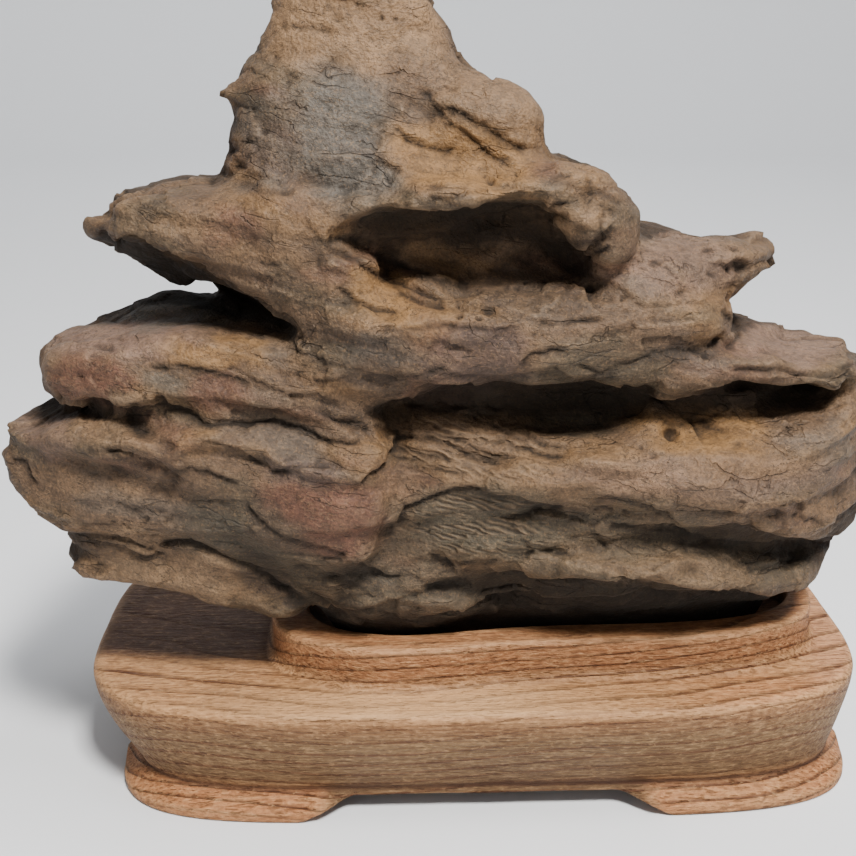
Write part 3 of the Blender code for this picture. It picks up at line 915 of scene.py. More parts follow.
@dataclass(frozen=True)
class Oval:
    """A soft-edged oval on the front sheet.

    Attributes:
        strength: How strong it is inside.
        x: Its middle, across.
        up: Its middle, upwards.
        half_length: Half its length.
        half_height: Half its height.
        turn: How far its right end is turned up, in degrees.
    """

    strength: float
    x: float
    up: float
    half_length: float
    half_height: float
    turn: float

    def cover(self, places: Array) -> Array:
        """Returns the share covered: full inside the oval, fading over its border."""
        angle = math.radians(self.turn)
        along = np.array([math.cos(angle), math.sin(angle)])
        across = np.array([-math.sin(angle), math.cos(angle)])
        away = places - np.array([self.x, self.up])
        reach = np.hypot(away @ along / self.half_length, away @ across / self.half_height)
        return self.strength * ease(reach, 1.25, 0.7)


def cover_all(ovals: tuple[Oval, ...], places: Array) -> Array:
    """Returns the strongest cover of several ovals at each place."""
    return np.max([oval.cover(places) for oval in ovals], axis=0)


@dataclass(frozen=True)
class Lump:
    """A rounded swelling, or a hollow where its height is negative.

    Attributes:
        centre: Its middle, from the deck's middle.
        radius: How far it reaches.
        height: How far it pushes the skin out.
    """

    centre: Place
    radius: float
    height: float

    def press(self, points: Array) -> Array:
        """Returns the push outwards: a bell curve of the distance to the middle."""
        gap = np.linalg.norm(points - np.array(self.centre), axis=1)
        return self.height * bell(gap, self.radius)


# Each row is a depth and then the corners of a line, across and up, on the front sheet.
STROKES: tuple[Stroke, ...] = (
    *Stroke.rows(
        Cut.LEDGE,
        (1, 20.3, 163.8, 24.7, 162.2, 28.6, 160.2, 32.6, 158.1),
        (0.9, 17.2, 158.2, 22.1, 155.8, 27, 154.3, 30.9, 153.8),
        (1.2, -91.6, 153.1, -87.7, 149.7, -83.1, 147.7, -79, 146.3, -74.9, 142.8, -71.8, 139.9),
        (1, -15, 188.5, -12, 184, -9, 180, -4, 177, 0, 173, 7, 169),
        (1.5, -10.5, 183.5, -5.5, 181.5, 0.5, 177.5, 4, 175, 10.5, 172.5),
        (1.1, -21.5, 179, -18, 175.5, -15, 174.5, -7, 173), (1, -27, 172, -23, 170, -19, 168),
        (0.9, -24, 178.5, -20.5, 176), (1, -14.5, 162.5, -6, 162.5),
        (0.7, -44, 158.5, -40, 154, -36, 151),
        (1.6, -37.5, 151.5, -33.5, 149.5, -27.5, 145.5, -21.5, 142.5, -15, 140, -8.5, 137),
        (1.3, -27.5, 149.5, -20.5, 146.5, -13, 143, -7, 141.5),
        (1.5, -22, 141.5, -18, 139, -14, 137.5, -8.5, 136.5),
        (1.2, -35.5, 141.5, -32, 138.5, -26.5, 136, -20.5, 135),
        (0.8, -44.5, 117, -33, 117.5, -21, 118.5, -8.5, 118.5, 4, 118, 19.5, 119),
        (0.9, -25.5, 131, -18, 130.5, -11, 131.5, -3.5, 130.5, 9, 131), (0.8, -1, 129.5, 5, 130.5),
        (1.2, 4, 117.5, 11.5, 118.5, 18, 119.5, 23, 116.5, 34.5, 118.5),
        (1.3, 8, 120, 11.5, 123.5, 17, 125, 22, 124),
        (1, 39, 124, 46, 124, 52, 125, 57, 123.5, 59.5, 124.5),
        (0.8, -56, 148, -51.5, 147, -47, 146.5), (1.5, -83, 121.5, -80, 121.5, -77, 120.5),
        (1.3, -76.5, 122, -69.5, 121, -63.5, 119, -57.5, 117), (1.4, -89, 111.5, -85, 112),
        (1.8, -80.5, 114.5, -79, 111.5, -72.5, 109, -68.5, 106.5, -60.5, 107, -52.5, 107, -46,
         105.5, -38.5, 101.5, -34, 100.5, -30, 102.5),
        (1.6, -81, 94.5, -76.5, 94, -69.5, 93.5, -62.5, 89.5),
        (1.3, -120.5, 97, -115.5, 96.5, -113.5, 89.5),
        (1, -71.5, 102.5, -66, 100.5, -59, 97, -55.5, 94.5),
        (0.9, -55.5, 93.5, -49, 94.5, -46.5, 95), (0.8, -106, 79.5, -97.5, 79, -91.5, 78.5),
        (1.8, -105, 75, -96, 72.5, -87.5, 69.5, -82.5, 70), (0.8, -90, 84, -86.5, 81.5),
        (0.8, -84, 83.5, -81, 82.5), (1.2, -60.5, 85, -58, 80, -51.5, 75, -39.5, 70, -34, 68.5),
        (2.2, -22, 103.5, -23, 99, -25, 95, -30, 91, -32, 89),
        (1.8, -22, 77, -20, 82.5, -11, 86.5, -3, 87.5, 11, 84.5, 22, 82),
        (1.6, -13.5, 68.5, -7.5, 67, 0, 66.5, 5.5, 67),
        (1.8, -35.5, 67.5, -31, 66, -24.5, 63, -19, 62.5), (1.2, -6, 63.5, 0, 66),
        (1.1, 0, 66.5, 7, 59.5, 13.5, 57), (1.2, -50, 67.5, -42.5, 64, -34, 61.5, -26.5, 58.5),
        (1.2, -46.5, 58, -40, 55.5, -32, 53.5, -21.5, 51.5),
        (1, -22, 103, -10.5, 101, -0.5, 97.5, 8, 94.5), (1, -22, 100.5, -13.5, 97.5, -6, 94.5),
        (1, -22.5, 98, -14.5, 95.5, -8.5, 92.5), (1, -10.5, 103.5, -4, 101, 2, 97.5, 10, 96),
        (1, 2, 105.5, 6, 103.5, 12.5, 100.5), (1, -7, 99.5, -0.5, 96.5, 6, 94.5),
        (1, 3, 102, 8.5, 99.5, 15, 98.5), (1, 9.5, 103.5, 16, 100.5, 22, 98.5),
        (1, -21, 95, -13.5, 93.5, -3, 91.5), (1, 12, 98.5, 16, 97.5, 21.5, 96),
        (2, 62, 119.5, 71.5, 119.5, 76.5, 120, 79, 118, 86, 118.5, 94, 120.5),
        (1.4, 58.5, 135, 62, 132, 63.5, 128.5, 60, 124.5), (1.2, 87.5, 116.5, 90, 118, 94, 119),
        (0.7, 44, 108, 48.5, 105.5, 53, 104.5), (0.7, 46.5, 110, 53, 107.5, 59.5, 105.5),
        (0.7, 55.5, 105.5, 61, 103.5, 65, 102), (0.7, 40.5, 104.5, 44.5, 102.5),
        (0.7, 52.5, 110.5, 58.5, 108.5, 64, 106.5), (0.7, 64, 100, 68.5, 100),
        (1.2, 28.5, 83, 32.5, 85, 40.5, 83, 48.5, 80.5, 52, 77.5),
        (2, 33.5, 77.5, 42, 76, 51, 75, 60, 72.5, 71.5, 71, 84, 71.5, 97, 71),
        (0.9, 53.5, 80, 63, 80, 71, 79.5, 84.5, 78.5, 92.5, 76.5),
        (1.6, 32.5, 57.5, 43.5, 58, 54.5, 56, 66.5, 56, 76, 58),
        (0.8, 68.5, 65.5, 78, 65, 85.5, 66.5),
        (3.2, -92, 155.5, -87.5, 152, -84, 153.5, -81.5, 153, -77, 150, -73, 148, -68, 146, -62.5,
         142.5, -56, 138.5, -50.5, 135.5, -46.5, 131.5, -45.5, 128.5),
        (2.6, -96.5, 101, -92.5, 98.5, -88, 96, -82, 94, -76.5, 91),
        (1.8, 13, 158.5, 16, 156.5, 17, 153, 20.5, 151, 25, 152, 28.5, 154, 30.5, 156),
        (1.6, 13, 159, 16.5, 161, 20.5, 161), (1.2, 21.5, 163.5, 26, 164, 30, 162.5, 32.5, 160),
        (0.9, 14.5, 167, 20, 165.5, 27, 165)),
    *Stroke.rows(
        Cut.SHELF,
        (2.8, -84, 71.5, -76.5, 72.5, -71, 69.5, -66, 66, -57.5, 62, -50, 57),
        (1.2, -106, 75.5, -98, 74, -89, 71.5, -84, 70.5)),
    *Stroke.rows(
        Cut.FOLD,
        (-0.9, 14.7, 161.5, 16.7, 158.2, 17.4, 153.9, 16.1, 150),
        (-0.9, -56.5, 188, -47.5, 190, -38.5, 194, -30.5, 196, -20, 197, -13, 194, -7, 190.5),
        (1.6, -23, 181.5, -20, 185.5, -15, 182.5, -10.5, 179),
        (-0.8, -108.5, 122.5, -98.5, 123, -90, 123.5, -83, 126, -75, 126.5),
        (1.6, -100.5, 111.5, -95.5, 110.5, -92, 110),
        (2.6, -96, 100.5, -90.5, 97.5, -82.5, 93.5, -76.5, 88.5),
        (1.6, -90.5, 109, -84.5, 103.5, -78, 97.5),
        (1.8, -15.5, 57.5, -6.5, 58.5, 0, 57.5, 16.5, 54.5), (1.2, 47, 102.5, 48.5, 102, 51, 102.5),
        (1.8, 69, 77, 75.5, 77, 82, 76.5), (-0.9, 21.5, 66.5, 31.5, 63.5, 38.5, 61),
        (-1, 38, 64.5, 47, 60.5, 54.5, 58, 66.5, 57.5), (1.3, -67.5, 56.5, -61.5, 53.5, -52, 54)),
    *Stroke.rows(
        Cut.CRACK,
        (0.9, 23, 167.1, 24.7, 162.4, 24, 157.7), (0.8, 28.2, 159.5, 27, 155.3, 28.6, 150.9),
        (0.7, -24.5, 168, -21.5, 165), (0.9, -15, 165, -9.5, 165), (0.8, 6, 162, 10, 163.5),
        (0.9, -55, 163.5, -50, 163.5, -45, 164), (0.6, -35.5, 203.5, -33.5, 201.5, -31.5, 199.5),
        (0.6, -48, 200, -42, 200, -34.5, 199), (0.8, -49, 195.5, -48, 192.5),
        (0.8, -40, 150, -39.5, 144), (1, 19, 131, 23.5, 132, 30, 132),
        (0.9, 13, 130.5, 15, 131.5, 19, 131), (1.1, -16, 119, -12.5, 119.5, -8.5, 119),
        (1, 23, 120.5, 30.5, 118.5, 39, 121, 44, 122.5), (0.9, -66.5, 166.5, -62.5, 166),
        (1, -64, 159.5, -61.5, 159), (0.8, -82.5, 162.5, -82, 160, -77.5, 161),
        (0.7, -56, 159.5, -53, 159), (1, -96, 127, -92, 126, -89.5, 124),
        (1.2, -41.5, 109, -37.5, 106.5, -30, 105.5, -28, 103.5), (1, 40.5, 153, 44.5, 153),
        (1, 39.5, 145.5, 43, 146.5), (1, 52, 149, 56, 149), (1, 58, 149.5, 63, 149.5),
        (1, 48, 147, 50.5, 147), (1, 53.5, 143.5, 58, 143.5), (1, 45.5, 138.5, 50, 138.5),
        (1, 55.5, 140.5, 58, 141), (1, 33, 137.5, 35.5, 137.5), (1.2, 40.5, 98.5, 42, 98),
        (1.2, 43.5, 96, 45, 96.5), (1.4, 25.5, 150.5, 27.5, 152, 30.5, 153),
        (1.2, 25.5, 148, 27.5, 149.5, 31, 150.5)),
)

# Middle, across and up, radius and depth of each round hole or knob.
PITS: tuple[Pit, ...] = tuple(Pit((x, up), radius, depth) for x, up, radius, depth in (
    (-6.5, 137, 0.8, 0.9), (1, 135, 1.6, 1.5), (-1.5, 132.5, 0.8, 0.9), (-6, 133, 0.9, 1),
    (3, 139, 0.8, 0.8), (5.5, 140, 0.7, 0.8), (8, 140, 0.7, 0.8), (-1.5, 139.5, 0.7, 0.8),
    (10, 141.5, 0.7, 0.8), (14.5, 142, 0.7, 0.8), (19, 141.5, 0.7, 0.8), (20.5, 139.5, 0.9, 1),
    (25.5, 140, 0.9, 1), (34, 137.5, 0.7, 0.8), (58, 126.5, 1.1, 1.2), (-100.5, 118.5, 0.9, 1.1),
    (1, 165.5, 0.9, 1.1), (48.5, 102.5, 1.9, 1.8), (41, 98.5, 0.8, 1), (44, 96, 0.8, 1),
    (-24, 202, 0.7, 0.6), (-21, 201.5, 0.7, 0.6), (-59.5, 173.5, 1.4, 1.2), (-58, 169.5, 1.4, 1.2),
    (-58, 186, 3.2, -0.9), (-20, 182.5, 1.9, -1.2), (-35, 103.5, 1.6, -1.1), (-100.5, 66, 2.4, 1),
    (62, 145, 2.4, 1.6), (18, 156.5, 2.4, -1), (25, 153, 1.4, -0.8)))

# The soft patches of colour, in the order in which they are laid; those in the darkest tint are
# painted shade under the wings and the low slab.
PATCHES: tuple[tuple[Tint, Oval], ...] = tuple((Tint[name], Oval(*row)) for name, *row in (
    ("BROWN", 0.45, 48, 86, 52, 11, -3), ("OLIVE", 0.3, 56, 62, 40, 12, -6),
    ("MOSS", 0.55, 46, 66, 46, 13, -4), ("MOSS", 0.45, -70, 62, 30, 12, -14),
    ("OLIVE", 0.45, 2, 58, 52, 7, 0), ("MOSS", 0.4, 28, 112, 40, 9, 0),
    ("SOOT", 0.55, -76, 139, 13, 4, -20), ("SAND", 1, -29, 204, 25, 14, 0),
    ("SAND", 0.5, 0, 184, 12, 11, -35), ("SLATE", 0.9, -32, 176, 12, 18, 10),
    ("SLATE", 0.45, -48, 176, 11, 10, 0), ("OCHRE", 1, -6, 171, 18, 9, -15),
    ("OLIVE", 0.5, -8, 160, 26, 3, 0), ("SAND", 0.8, 20, 158, 10, 4, 0),
    ("RUST", 0.45, -60, 154, 7, 4, 0), ("SAND", 0.5, -72, 155, 8, 3, 0),
    ("OLIVE", 0.5, -47, 142, 7, 5, -15), ("OCHRE", 0.9, -25, 140, 8, 7, -25),
    ("OCHRE", 0.45, -8, 134, 17, 4, 0), ("UMBER", 0.4, 11, 137, 22, 7, 0),
    ("PLUM", 0.75, -1, 123, 14, 8, 0), ("MOSS", 0.6, 30, 119, 16, 9, 0),
    ("SLATE", 0.4, -24, 124, 11, 5, 0), ("RUST", 0.5, -12, 113, 9, 4, 0),
    ("ROSE", 0.9, -89, 128, 20, 5, 6), ("RUST", 0.95, -98, 118, 12, 6, 0),
    ("SLATE", 0.5, -79, 134, 10, 4, 0), ("OCHRE", 0.8, -66, 125, 13, 4, -4),
    ("RUST", 0.7, -66, 114, 8, 6, -8), ("SLATE", 0.4, -80, 118, 5, 3, 0),
    ("ROSE", 0.6, -111, 105, 7, 7, 25), ("OCHRE", 0.35, -72, 102, 5, 4, 0),
    ("SAND", 0.4, -91, 104, 12, 5, -15), ("RUST", 1, -44, 79, 18, 11, -10),
    ("PLUM", 0.55, -45, 93, 11, 4, 0), ("MOSS", 0.85, 1, 78, 24, 11, -6),
    ("OLIVE", 0.75, -60, 74, 19, 10, -32), ("MOSS", 0.5, -23, 56, 33, 11, -6),
    ("SAND", 0.55, -79, 64, 29, 9, -12), ("SAND", 0.45, -1, 98, 21, 8, -12),
    ("OCHRE", 0.9, 55, 104, 18, 7, -10), ("ROSE", 0.35, 58, 90, 38, 6, 0),
    ("OCHRE", 0.35, 72, 94, 18, 6, 0), ("ROSE", 0.75, 76, 127, 15, 7, -12),
    ("ROSE", 0.5, 49, 146, 13, 9, -6), ("SAND", 0.5, 40, 80, 12, 3, -8),
    ("SAND", 0.5, 76, 74, 21, 3, 0), ("SAND", 0.4, 48, 64, 27, 7, -14),
    ("MOSS", 0.5, 40, 75, 19, 9, -6), ("UMBER", 0.6, 54, 52, 33, 5, 0),
    # Painted shade under the upper left wing, its tip and the low slab, in the darkest tint.
    ("SAND", 0.3, -21, 86, 5, 11, 0), ("SOOT", 0.95, -78, 146.5, 18, 3.2, -30),
    ("SOOT", 0.8, -93, 152, 5, 3, -40), ("SOOT", 0.6, -55, 60, 12, 4, -32)))

# Where the solid's hollow is evened out.
WORN: tuple[Oval, ...] = (
    Oval(1, -4, 174.5, 17, 8.5, -12),
)

# The calmer faces, where the weathering is weaker.
CALM: tuple[Oval, ...] = (
    Oval(0.45, -29, 204, 26, 16, 0), Oval(0.55, -85, 92, 34, 13, -12),
    Oval(0.5, -70, 157, 28, 9, -18), Oval(0.6, -88, 122, 24, 10, 0),
    Oval(0.6, -44, 79, 17, 10, -10), Oval(0.5, -78, 64, 28, 8, -12), Oval(0.65, 58, 90, 42, 7, 0),
    Oval(0.7, 78, 128, 22, 8, -12), Oval(0.5, 3, 125, 46, 10, 0),
)

# The finely striated faces.
RIPPLED: tuple[Oval, ...] = (
    Oval(1, 1, 77, 22, 9, -6), Oval(1, -3, 98, 21, 7, -12),
)

# Middle, radius and height of each swelling or hollow, from the deck's middle.
LUMPS: tuple[Lump, ...] = tuple(Lump(tuple(middle), radius, height) for *middle, radius, height in (
    (6, -16, 181, 10, 4.5), (-2, -22, 172, 11, 2), (20, -36, 157, 7, 3.2), (27, -34, 150, 6, 2.6),
    (8, -36, 159, 6, 2), (77, -1, 143.5, 6, 3), (-111.5, -12.3, 120, 9, 1.8),
    (-97, -13.7, 153.6, 5, 1.5), (-93, -34, 144.5, 5.5, -3), (-85, -36, 141.5, 6, -3.6),
    (-77, -36, 138.8, 5.5, -3.6), (-85, -24, 141, 6, -3), (-77, -24, 138.5, 5.5, -2.8),
    (-63.7, -6, 184.8, 5, -1.8)))


# ---- The stone ---------------------------------------------------------------------

@dataclass(frozen=True)
class Beds:
    """One size of the stone's beds.

    Attributes:
        thickness: Of a bed, in millimetres.
        step: How far a bed stands out from the next one.
        groove: How deep the joint between two beds is.
        run: Over what length a bed's edge wanders in and out.
        seed: Picks the pattern.
    """

    thickness: float
    step: float
    groove: float
    run: float
    seed: int

    def push(self, points: Array, level: Array) -> tuple[Array, Array]:
        """Works out how far each bed stands out.

        A point's bed number is its level over the thickness, moved a little by noise. Each
        bed has its own noise along its run, and the last sixth of a bed goes over to the
        next one's. A joint is a narrow bell curve, present where another noise is high.

        Args:
            points: The points.
            level: Their height in the bedding, in millimetres.

        Returns:
            The push outwards and the joints' shade.
        """
        spread = 2.2 * self.run
        slow = np.column_stack((points[:, :2] / spread, level / (5.0 * self.thickness)))
        number = level / self.thickness + 0.9 * smooth_noise(slow, self.seed)
        whole = np.floor(number)
        inside = number - whole
        here, above = (np.column_stack((points[:, :2] / self.run, (whole + k) * 7.31))
                       for k in (0, 1))
        stand_out = blend(smooth_noise(here, self.seed + 5), smooth_noise(above, self.seed + 5),
                          ease(inside, 0.86, 1.0))
        joint = bell(inside - 0.93, 0.075)
        joint *= ease(smooth_noise(here * 1.7, self.seed + 9), -0.1, 0.35)
        return self.step * stand_out - self.groove * joint, joint


# The stone's own clouds of colour: tint, seed, where the noise starts and ends to show it,
# and how far it covers at most.
TINT_CLOUDS: tuple[tuple[Tint, int, float, float, float], ...] = (
    (Tint.SAND, 201, 0.0, 0.6, 0.55), (Tint.UMBER, 202, 0.0, 0.6, 0.6),
    (Tint.SLATE, 203, 0.1, 0.6, 0.4), (Tint.OCHRE, 204, 0.1, 0.6, 0.5),
    (Tint.MOSS, 205, 0.15, 0.6, 0.5), (Tint.RUST, 206, 0.25, 0.7, 0.5),
)


@dataclass
class ViewingStone:
    """The stone: one natural piece, bedded and weathered, broader at its wings than its foot.

    Attributes:
        skin: The spacing of the fine skin, in millimetres.
        faces: The most triangles that the finished stone has.
        rounding: The rounds that smooth the solid's facets away.
        filling: The rounds that even out the worn ovals.
        seat_top: Below this height the foot is left as its solid is, for it sits in the seat.
        deepest: The furthest that drawn lines and holes push the skin in.
        highest: The furthest that they push it out.
        facet_size: The size of a broken facet.
        facet_tilt: How strongly facets tilt.
        pit_spacing: How far apart pits may lie.
        pit_depth: A pit's depth.
        crack_depth: A crack's depth.
        sheet: Where the front's features are drawn.
        beds: The sizes of bed, from thick to thin.
    """

    skin: float = 0.85
    faces: int = 198000
    rounding: int = 16
    filling: int = 110
    seat_top: float = 46.0
    deepest: float = 3.0
    highest: float = 3.5
    facet_size: float = 17.0
    facet_tilt: float = 1.4
    pit_spacing: float = 4.6
    pit_depth: float = 0.6
    crack_depth: float = 0.55
    sheet: FrontSheet = FrontSheet()
    beds: tuple[Beds, ...] = (Beds(10.5, 0.8, 0.5, 34.0, 11), Beds(4.1, 0.30, 0.22, 19.0, 31),
                              Beds(1.9, 0.13, 0.12, 11.0, 51))

    def level(self, points: Array) -> Array:
        """Returns the height in the bedding: the height, tilted down to the right and bent."""
        x, z = points[:, 0], points[:, 2]
        tilt = 0.20 * (20.0 - np.logaddexp(0.0, (20.0 - x) / 14.0) * 14.0)
        bend = 3.2 * smooth_noise(points / 52.0, 3) + 0.9 * smooth_noise(points / 17.0, 4)
        return z + tilt + bend

    def local(self, points: Array) -> Array:
        """Returns points measured from the middle of the stand's deck, not the frame's origin."""
        return points - np.array([STAND_SHIFT, 0.0, 0.0])

    def skin_copy(self) -> bpy.types.Mesh:
        """Returns a copy of the solid with a fine even skin, its facets smoothed away."""
        mesh = through_modifier("viewing_stone_skin", solid_copy("viewing_stone"), "REMESH",
                                mode="VOXEL", voxel_size=self.skin * MM, adaptivity=0.0)
        points = read_points(mesh)
        edges = read_edges(mesh)
        smooth = soften(points, edges, self.rounding)
        filled = even_out(smooth, edges, self.filling, 0.9)
        local = self.local(smooth)
        worn = cover_all(WORN, self.sheet.carry(local)) * ease(local[:, 1], 12.0, 0.0)
        smooth = blend(smooth, filled, worn[:, None])
        free = ease(points[:, 2], self.seat_top + 0.5, self.seat_top + 3.0)
        write_points(mesh, points + (smooth - points) * free[:, None])
        return mesh

    def drawn(self, points: Array, normals: Array) -> tuple[Array, Array]:
        """Adds up what the drawn strokes and pits do to the front.

        Args:
            points: The points, from the deck's middle.
            normals: Their outward directions.

        Returns:
            The push outwards and the painted shade, negative where it is a painted highlight.
        """
        places = self.sheet.carry(points)
        bend = wander(points / 7.0, 3, 71)
        bent, stirred = places + bend * 0.75, places + bend * 0.3
        push = np.zeros(len(points))
        shade = np.zeros(len(points))
        for stroke in STROKES:
            near, out, dark = stroke.press(bent)
            push[near] += out
            shade[near] = stronger(shade[near], dark)
        for pit in PITS:
            out, dark = pit.press(stirred)
            push += out
            shade = stronger(shade, dark)
        facing = self.sheet.facing(points, normals)
        return np.clip(push, -self.deepest, self.highest) * facing, shade * facing

    def weathered(self, points: Array, normals: Array) -> tuple[Array, Array]:
        """Adds up beds, bumps, broken facets, pits and stretched cracks.

        Facets tilt each cell of a coarse pattern by a random slope. Pits are bell curves
        round the seed points of some of the cells of a fine pattern that is stretched along
        the bedding. Cracks lie where another noise crosses 0.

        Args:
            points: The points, from the deck's middle.
            normals: Their outward directions.

        Returns:
            The push outwards and the shade.
        """
        level = self.level(points)
        layered = np.column_stack((points[:, :2], level * 2.1))
        side = 0.25 + 0.75 * (1.0 - normals[:, 2] ** 2)
        quiet = ease(smooth_noise(points / 38.0, 21), 0.35, -0.2) * 0.65 + 0.35
        push = np.zeros(len(points))
        shade = np.zeros(len(points))
        for beds in self.beds:
            out, joint = beds.push(points, level)
            push += out * side * quiet
            shade = np.maximum(shade, joint * side * quiet * 0.5)
        push += 0.8 * rough_noise(layered / 26.0, 3, 81) + 0.24 * rough_noise(points / 5.0, 3, 91)
        facets = cell_field(layered / self.facet_size, 101)
        push += self.facet_tilt * np.sum(unit_shares(facets.mixed) * facets.offset, axis=1) * quiet
        pits = cell_field(np.column_stack((points[:, :2], level * 1.8)) / self.pit_spacing, 111)
        chosen = unit_share(pits.mixed, 1) > 0.6
        hole = bell(pits.near, 0.2 + 0.12 * unit_share(pits.mixed, 2)) * chosen
        cracks = smooth_noise(layered / np.array([15.0, 15.0, 9.0]), 121)
        split = bell(cracks, 0.03) * ease(smooth_noise(points / 19.0, 122), 0.05, 0.35)
        push -= self.pit_depth * hole
        push -= self.crack_depth * split
        return push, np.maximum(np.maximum(shade, hole * 0.7), split * 0.75)

    def colours(self, points: Array, facing: Array) -> Array:
        """Works out the tint at each point.

        Slow noise along the bedding goes from brown to the other tints all round the stone,
        and the drawn patches, their borders bent by noise, lie over that in front. The darkest
        patches are painted shade under the wings and the low slab.

        Args:
            points: The points, from the deck's middle.
            facing: How far each looks to the front.

        Returns:
            One colour for each point.
        """
        layered = np.column_stack((points[:, :2] / 34.0, self.level(points) / 13.0))
        tint = np.tile(np.array(Tint.BROWN.value), (len(points), 1))
        for cloud, seed, low, high, most in TINT_CLOUDS:
            tint = lay(tint, cloud.value, most * ease(rough_noise(layered, 3, seed), low, high))
        places = self.sheet.carry(points) + wander(points / 11.0, 4, 211) * 3.0
        for patch, oval in PATCHES:
            tint = lay(tint, patch.value, oval.cover(places) * facing)
        return tint

    def build(self) -> bpy.types.Object:
        """Makes the stone's skin, presses its relief in, keeps its attributes and dresses it.

        Returns:
            The finished stone.
        """
        mesh = self.skin_copy()
        points = read_points(mesh)
        normals = read_normals(mesh)
        local = self.local(points)
        rough, _ = self.weathered(local, normals)
        cut, _ = self.drawn(local, normals)
        lumps = sum(lump.press(local) for lump in LUMPS)
        calm = cover_all(CALM, self.sheet.carry(local)) * self.sheet.facing(local, normals)
        sharp = -hollowness(points, normals, read_edges(mesh), 40)
        kept = ease(sharp, 3.6, 1.6).clip(0.25, 1.0)
        free = ease(points[:, 2], self.seat_top + 0.4, self.seat_top + 3.5)
        push = (rough * (1.0 - calm) * kept + cut + lumps) * free
        write_points(mesh, points + normals * push[:, None])
        count = sum(len(face.vertices) - 2 for face in mesh.polygons)
        mesh = through_modifier("viewing_stone_body", mesh, "DECIMATE", ratio=self.faces / count)
        self.keep_attributes(mesh)
        stone = add_object("weathered_stone", mesh)
        mesh.materials.append(SandstoneFinish().build())
        return stone

    def shelter(self, points: Array) -> Array:
        """Works out how far each point lies under an overhang of the front.

        The nearest distance to the eye is kept for each cell of the front sheet and
        evened out. A point is sheltered where the cells just above it are nearer. The share
        is laid on as painted shade under the overhangs.

        Args:
            points: The points, from the deck's middle.

        Returns:
            Shares between 0 and 1.
        """
        cell = 1.5
        low = np.array([-135.0, 20.0])
        size = (180, 140)
        distance = np.linalg.norm(points - np.array(self.sheet.eye), axis=1)
        at = np.clip(((self.sheet.carry(points) - low) / cell).astype(int), 5, np.array(size) - 14)
        nearest = np.full(size, np.inf)
        np.minimum.at(nearest, (at[:, 0], at[:, 1]), distance)
        known = np.isfinite(nearest).astype(float)
        total = np.where(known > 0.0, nearest, 0.0)
        for _ in range(9):
            for axis in (0, 1):
                total = total + 0.5 * (np.roll(total, 1, axis) + np.roll(total, -1, axis))
                known = known + 0.5 * (np.roll(known, 1, axis) + np.roll(known, -1, axis))
            total, known = total / 4.0, known / 4.0
        mean = total / np.maximum(known, 1e-6)
        over = np.maximum(mean[at[:, 0], at[:, 1] + 4], 1.0)
        over = np.where(known[at[:, 0], at[:, 1] + 4] > 0.02, over, distance)
        return ease(distance - over, 1.5, 9.5)

    def keep_attributes(self, mesh: bpy.types.Mesh) -> None:
        """Stores the tint, the bedding level, and how hollow, edged or rippled each point is.

        A point is hollow where the evened-out skin lies above it, and an edge where it lies
        below, each at a fine and at a coarse size. The hollow share is dirt in fine hollows and
        painted shade in broad caves, under the drawn lips, under overhangs and towards the foot;
        the edge share is wear and the drawn lines' painted highlights.

        Args:
            mesh: The finished stone's mesh.
        """
        points = read_points(mesh)
        normals = read_normals(mesh)
        edges = read_edges(mesh)
        local = self.local(points)
        facing = self.sheet.facing(local, even_out(normals, edges, 4))
        _, joints = self.weathered(local, normals)
        _, drawn = self.drawn(local, normals)
        fine = hollowness(points, normals, edges, 3)
        coarse = hollowness(points, normals, edges, 45)
        # Dirt in fine hollows, painted shade in the broad caves, and the drawn lines' painted shade
        # under lips and in troughs.
        hollow = ease(fine, 0.05, 0.42) * 0.55 + ease(coarse, 0.25, 2.3) * 0.75
        hollow = np.clip(hollow + np.maximum(drawn, 0.0) * 0.75 + joints * 0.2, 0.0, 1.0)
        # Worn edges, with the drawn lines' painted highlights above lips and on ridges and knobs.
        edge = ease(-fine, 0.05, 0.4) * 0.6 + ease(-coarse, 0.5, 2.6) * 0.3
        edge = np.clip(edge + np.maximum(-drawn, 0.0) * 0.6 - hollow * 0.6, 0.0, 1.0)
        # Painted shade under the overhangs of the front.
        hollow = np.maximum(hollow, 0.9 * self.shelter(local) * facing)
        # Painted shade: darker towards the foot, where the seat's shadow falls.
        foot = ease(points[:, 2], 64.0, 46.0) * 0.72
        foot = foot * ease(rough_noise(local / 16.0, 2, 221), -0.5, 0.5)
        store_colour(mesh, "tint", self.colours(local, facing))
        store_share(mesh, "bed", self.level(local))
        store_share(mesh, "cavity_dirt_and_shade", hollow + (1.0 - hollow) * foot)
        store_share(mesh, "edge", edge)
        store_share(mesh, "ripple", cover_all(RIPPLED, self.sheet.carry(local)) * facing)


# ---- The stand ---------------------------------------------------------------------

class Wood(Enum):
    """The wood's natural colours, and SHADED, the painted shadow of the stone on the deck."""

    TAN = paint(172, 126, 84)
    SIDE = paint(108, 85, 57)
    RED = paint(146, 96, 62)
    ORANGE = paint(166, 104, 64)
    # Painted shadow: the stone's shadow on the deck's left back part.
    SHADED = paint(92, 62, 50)
    PINK = paint(184, 132, 96)


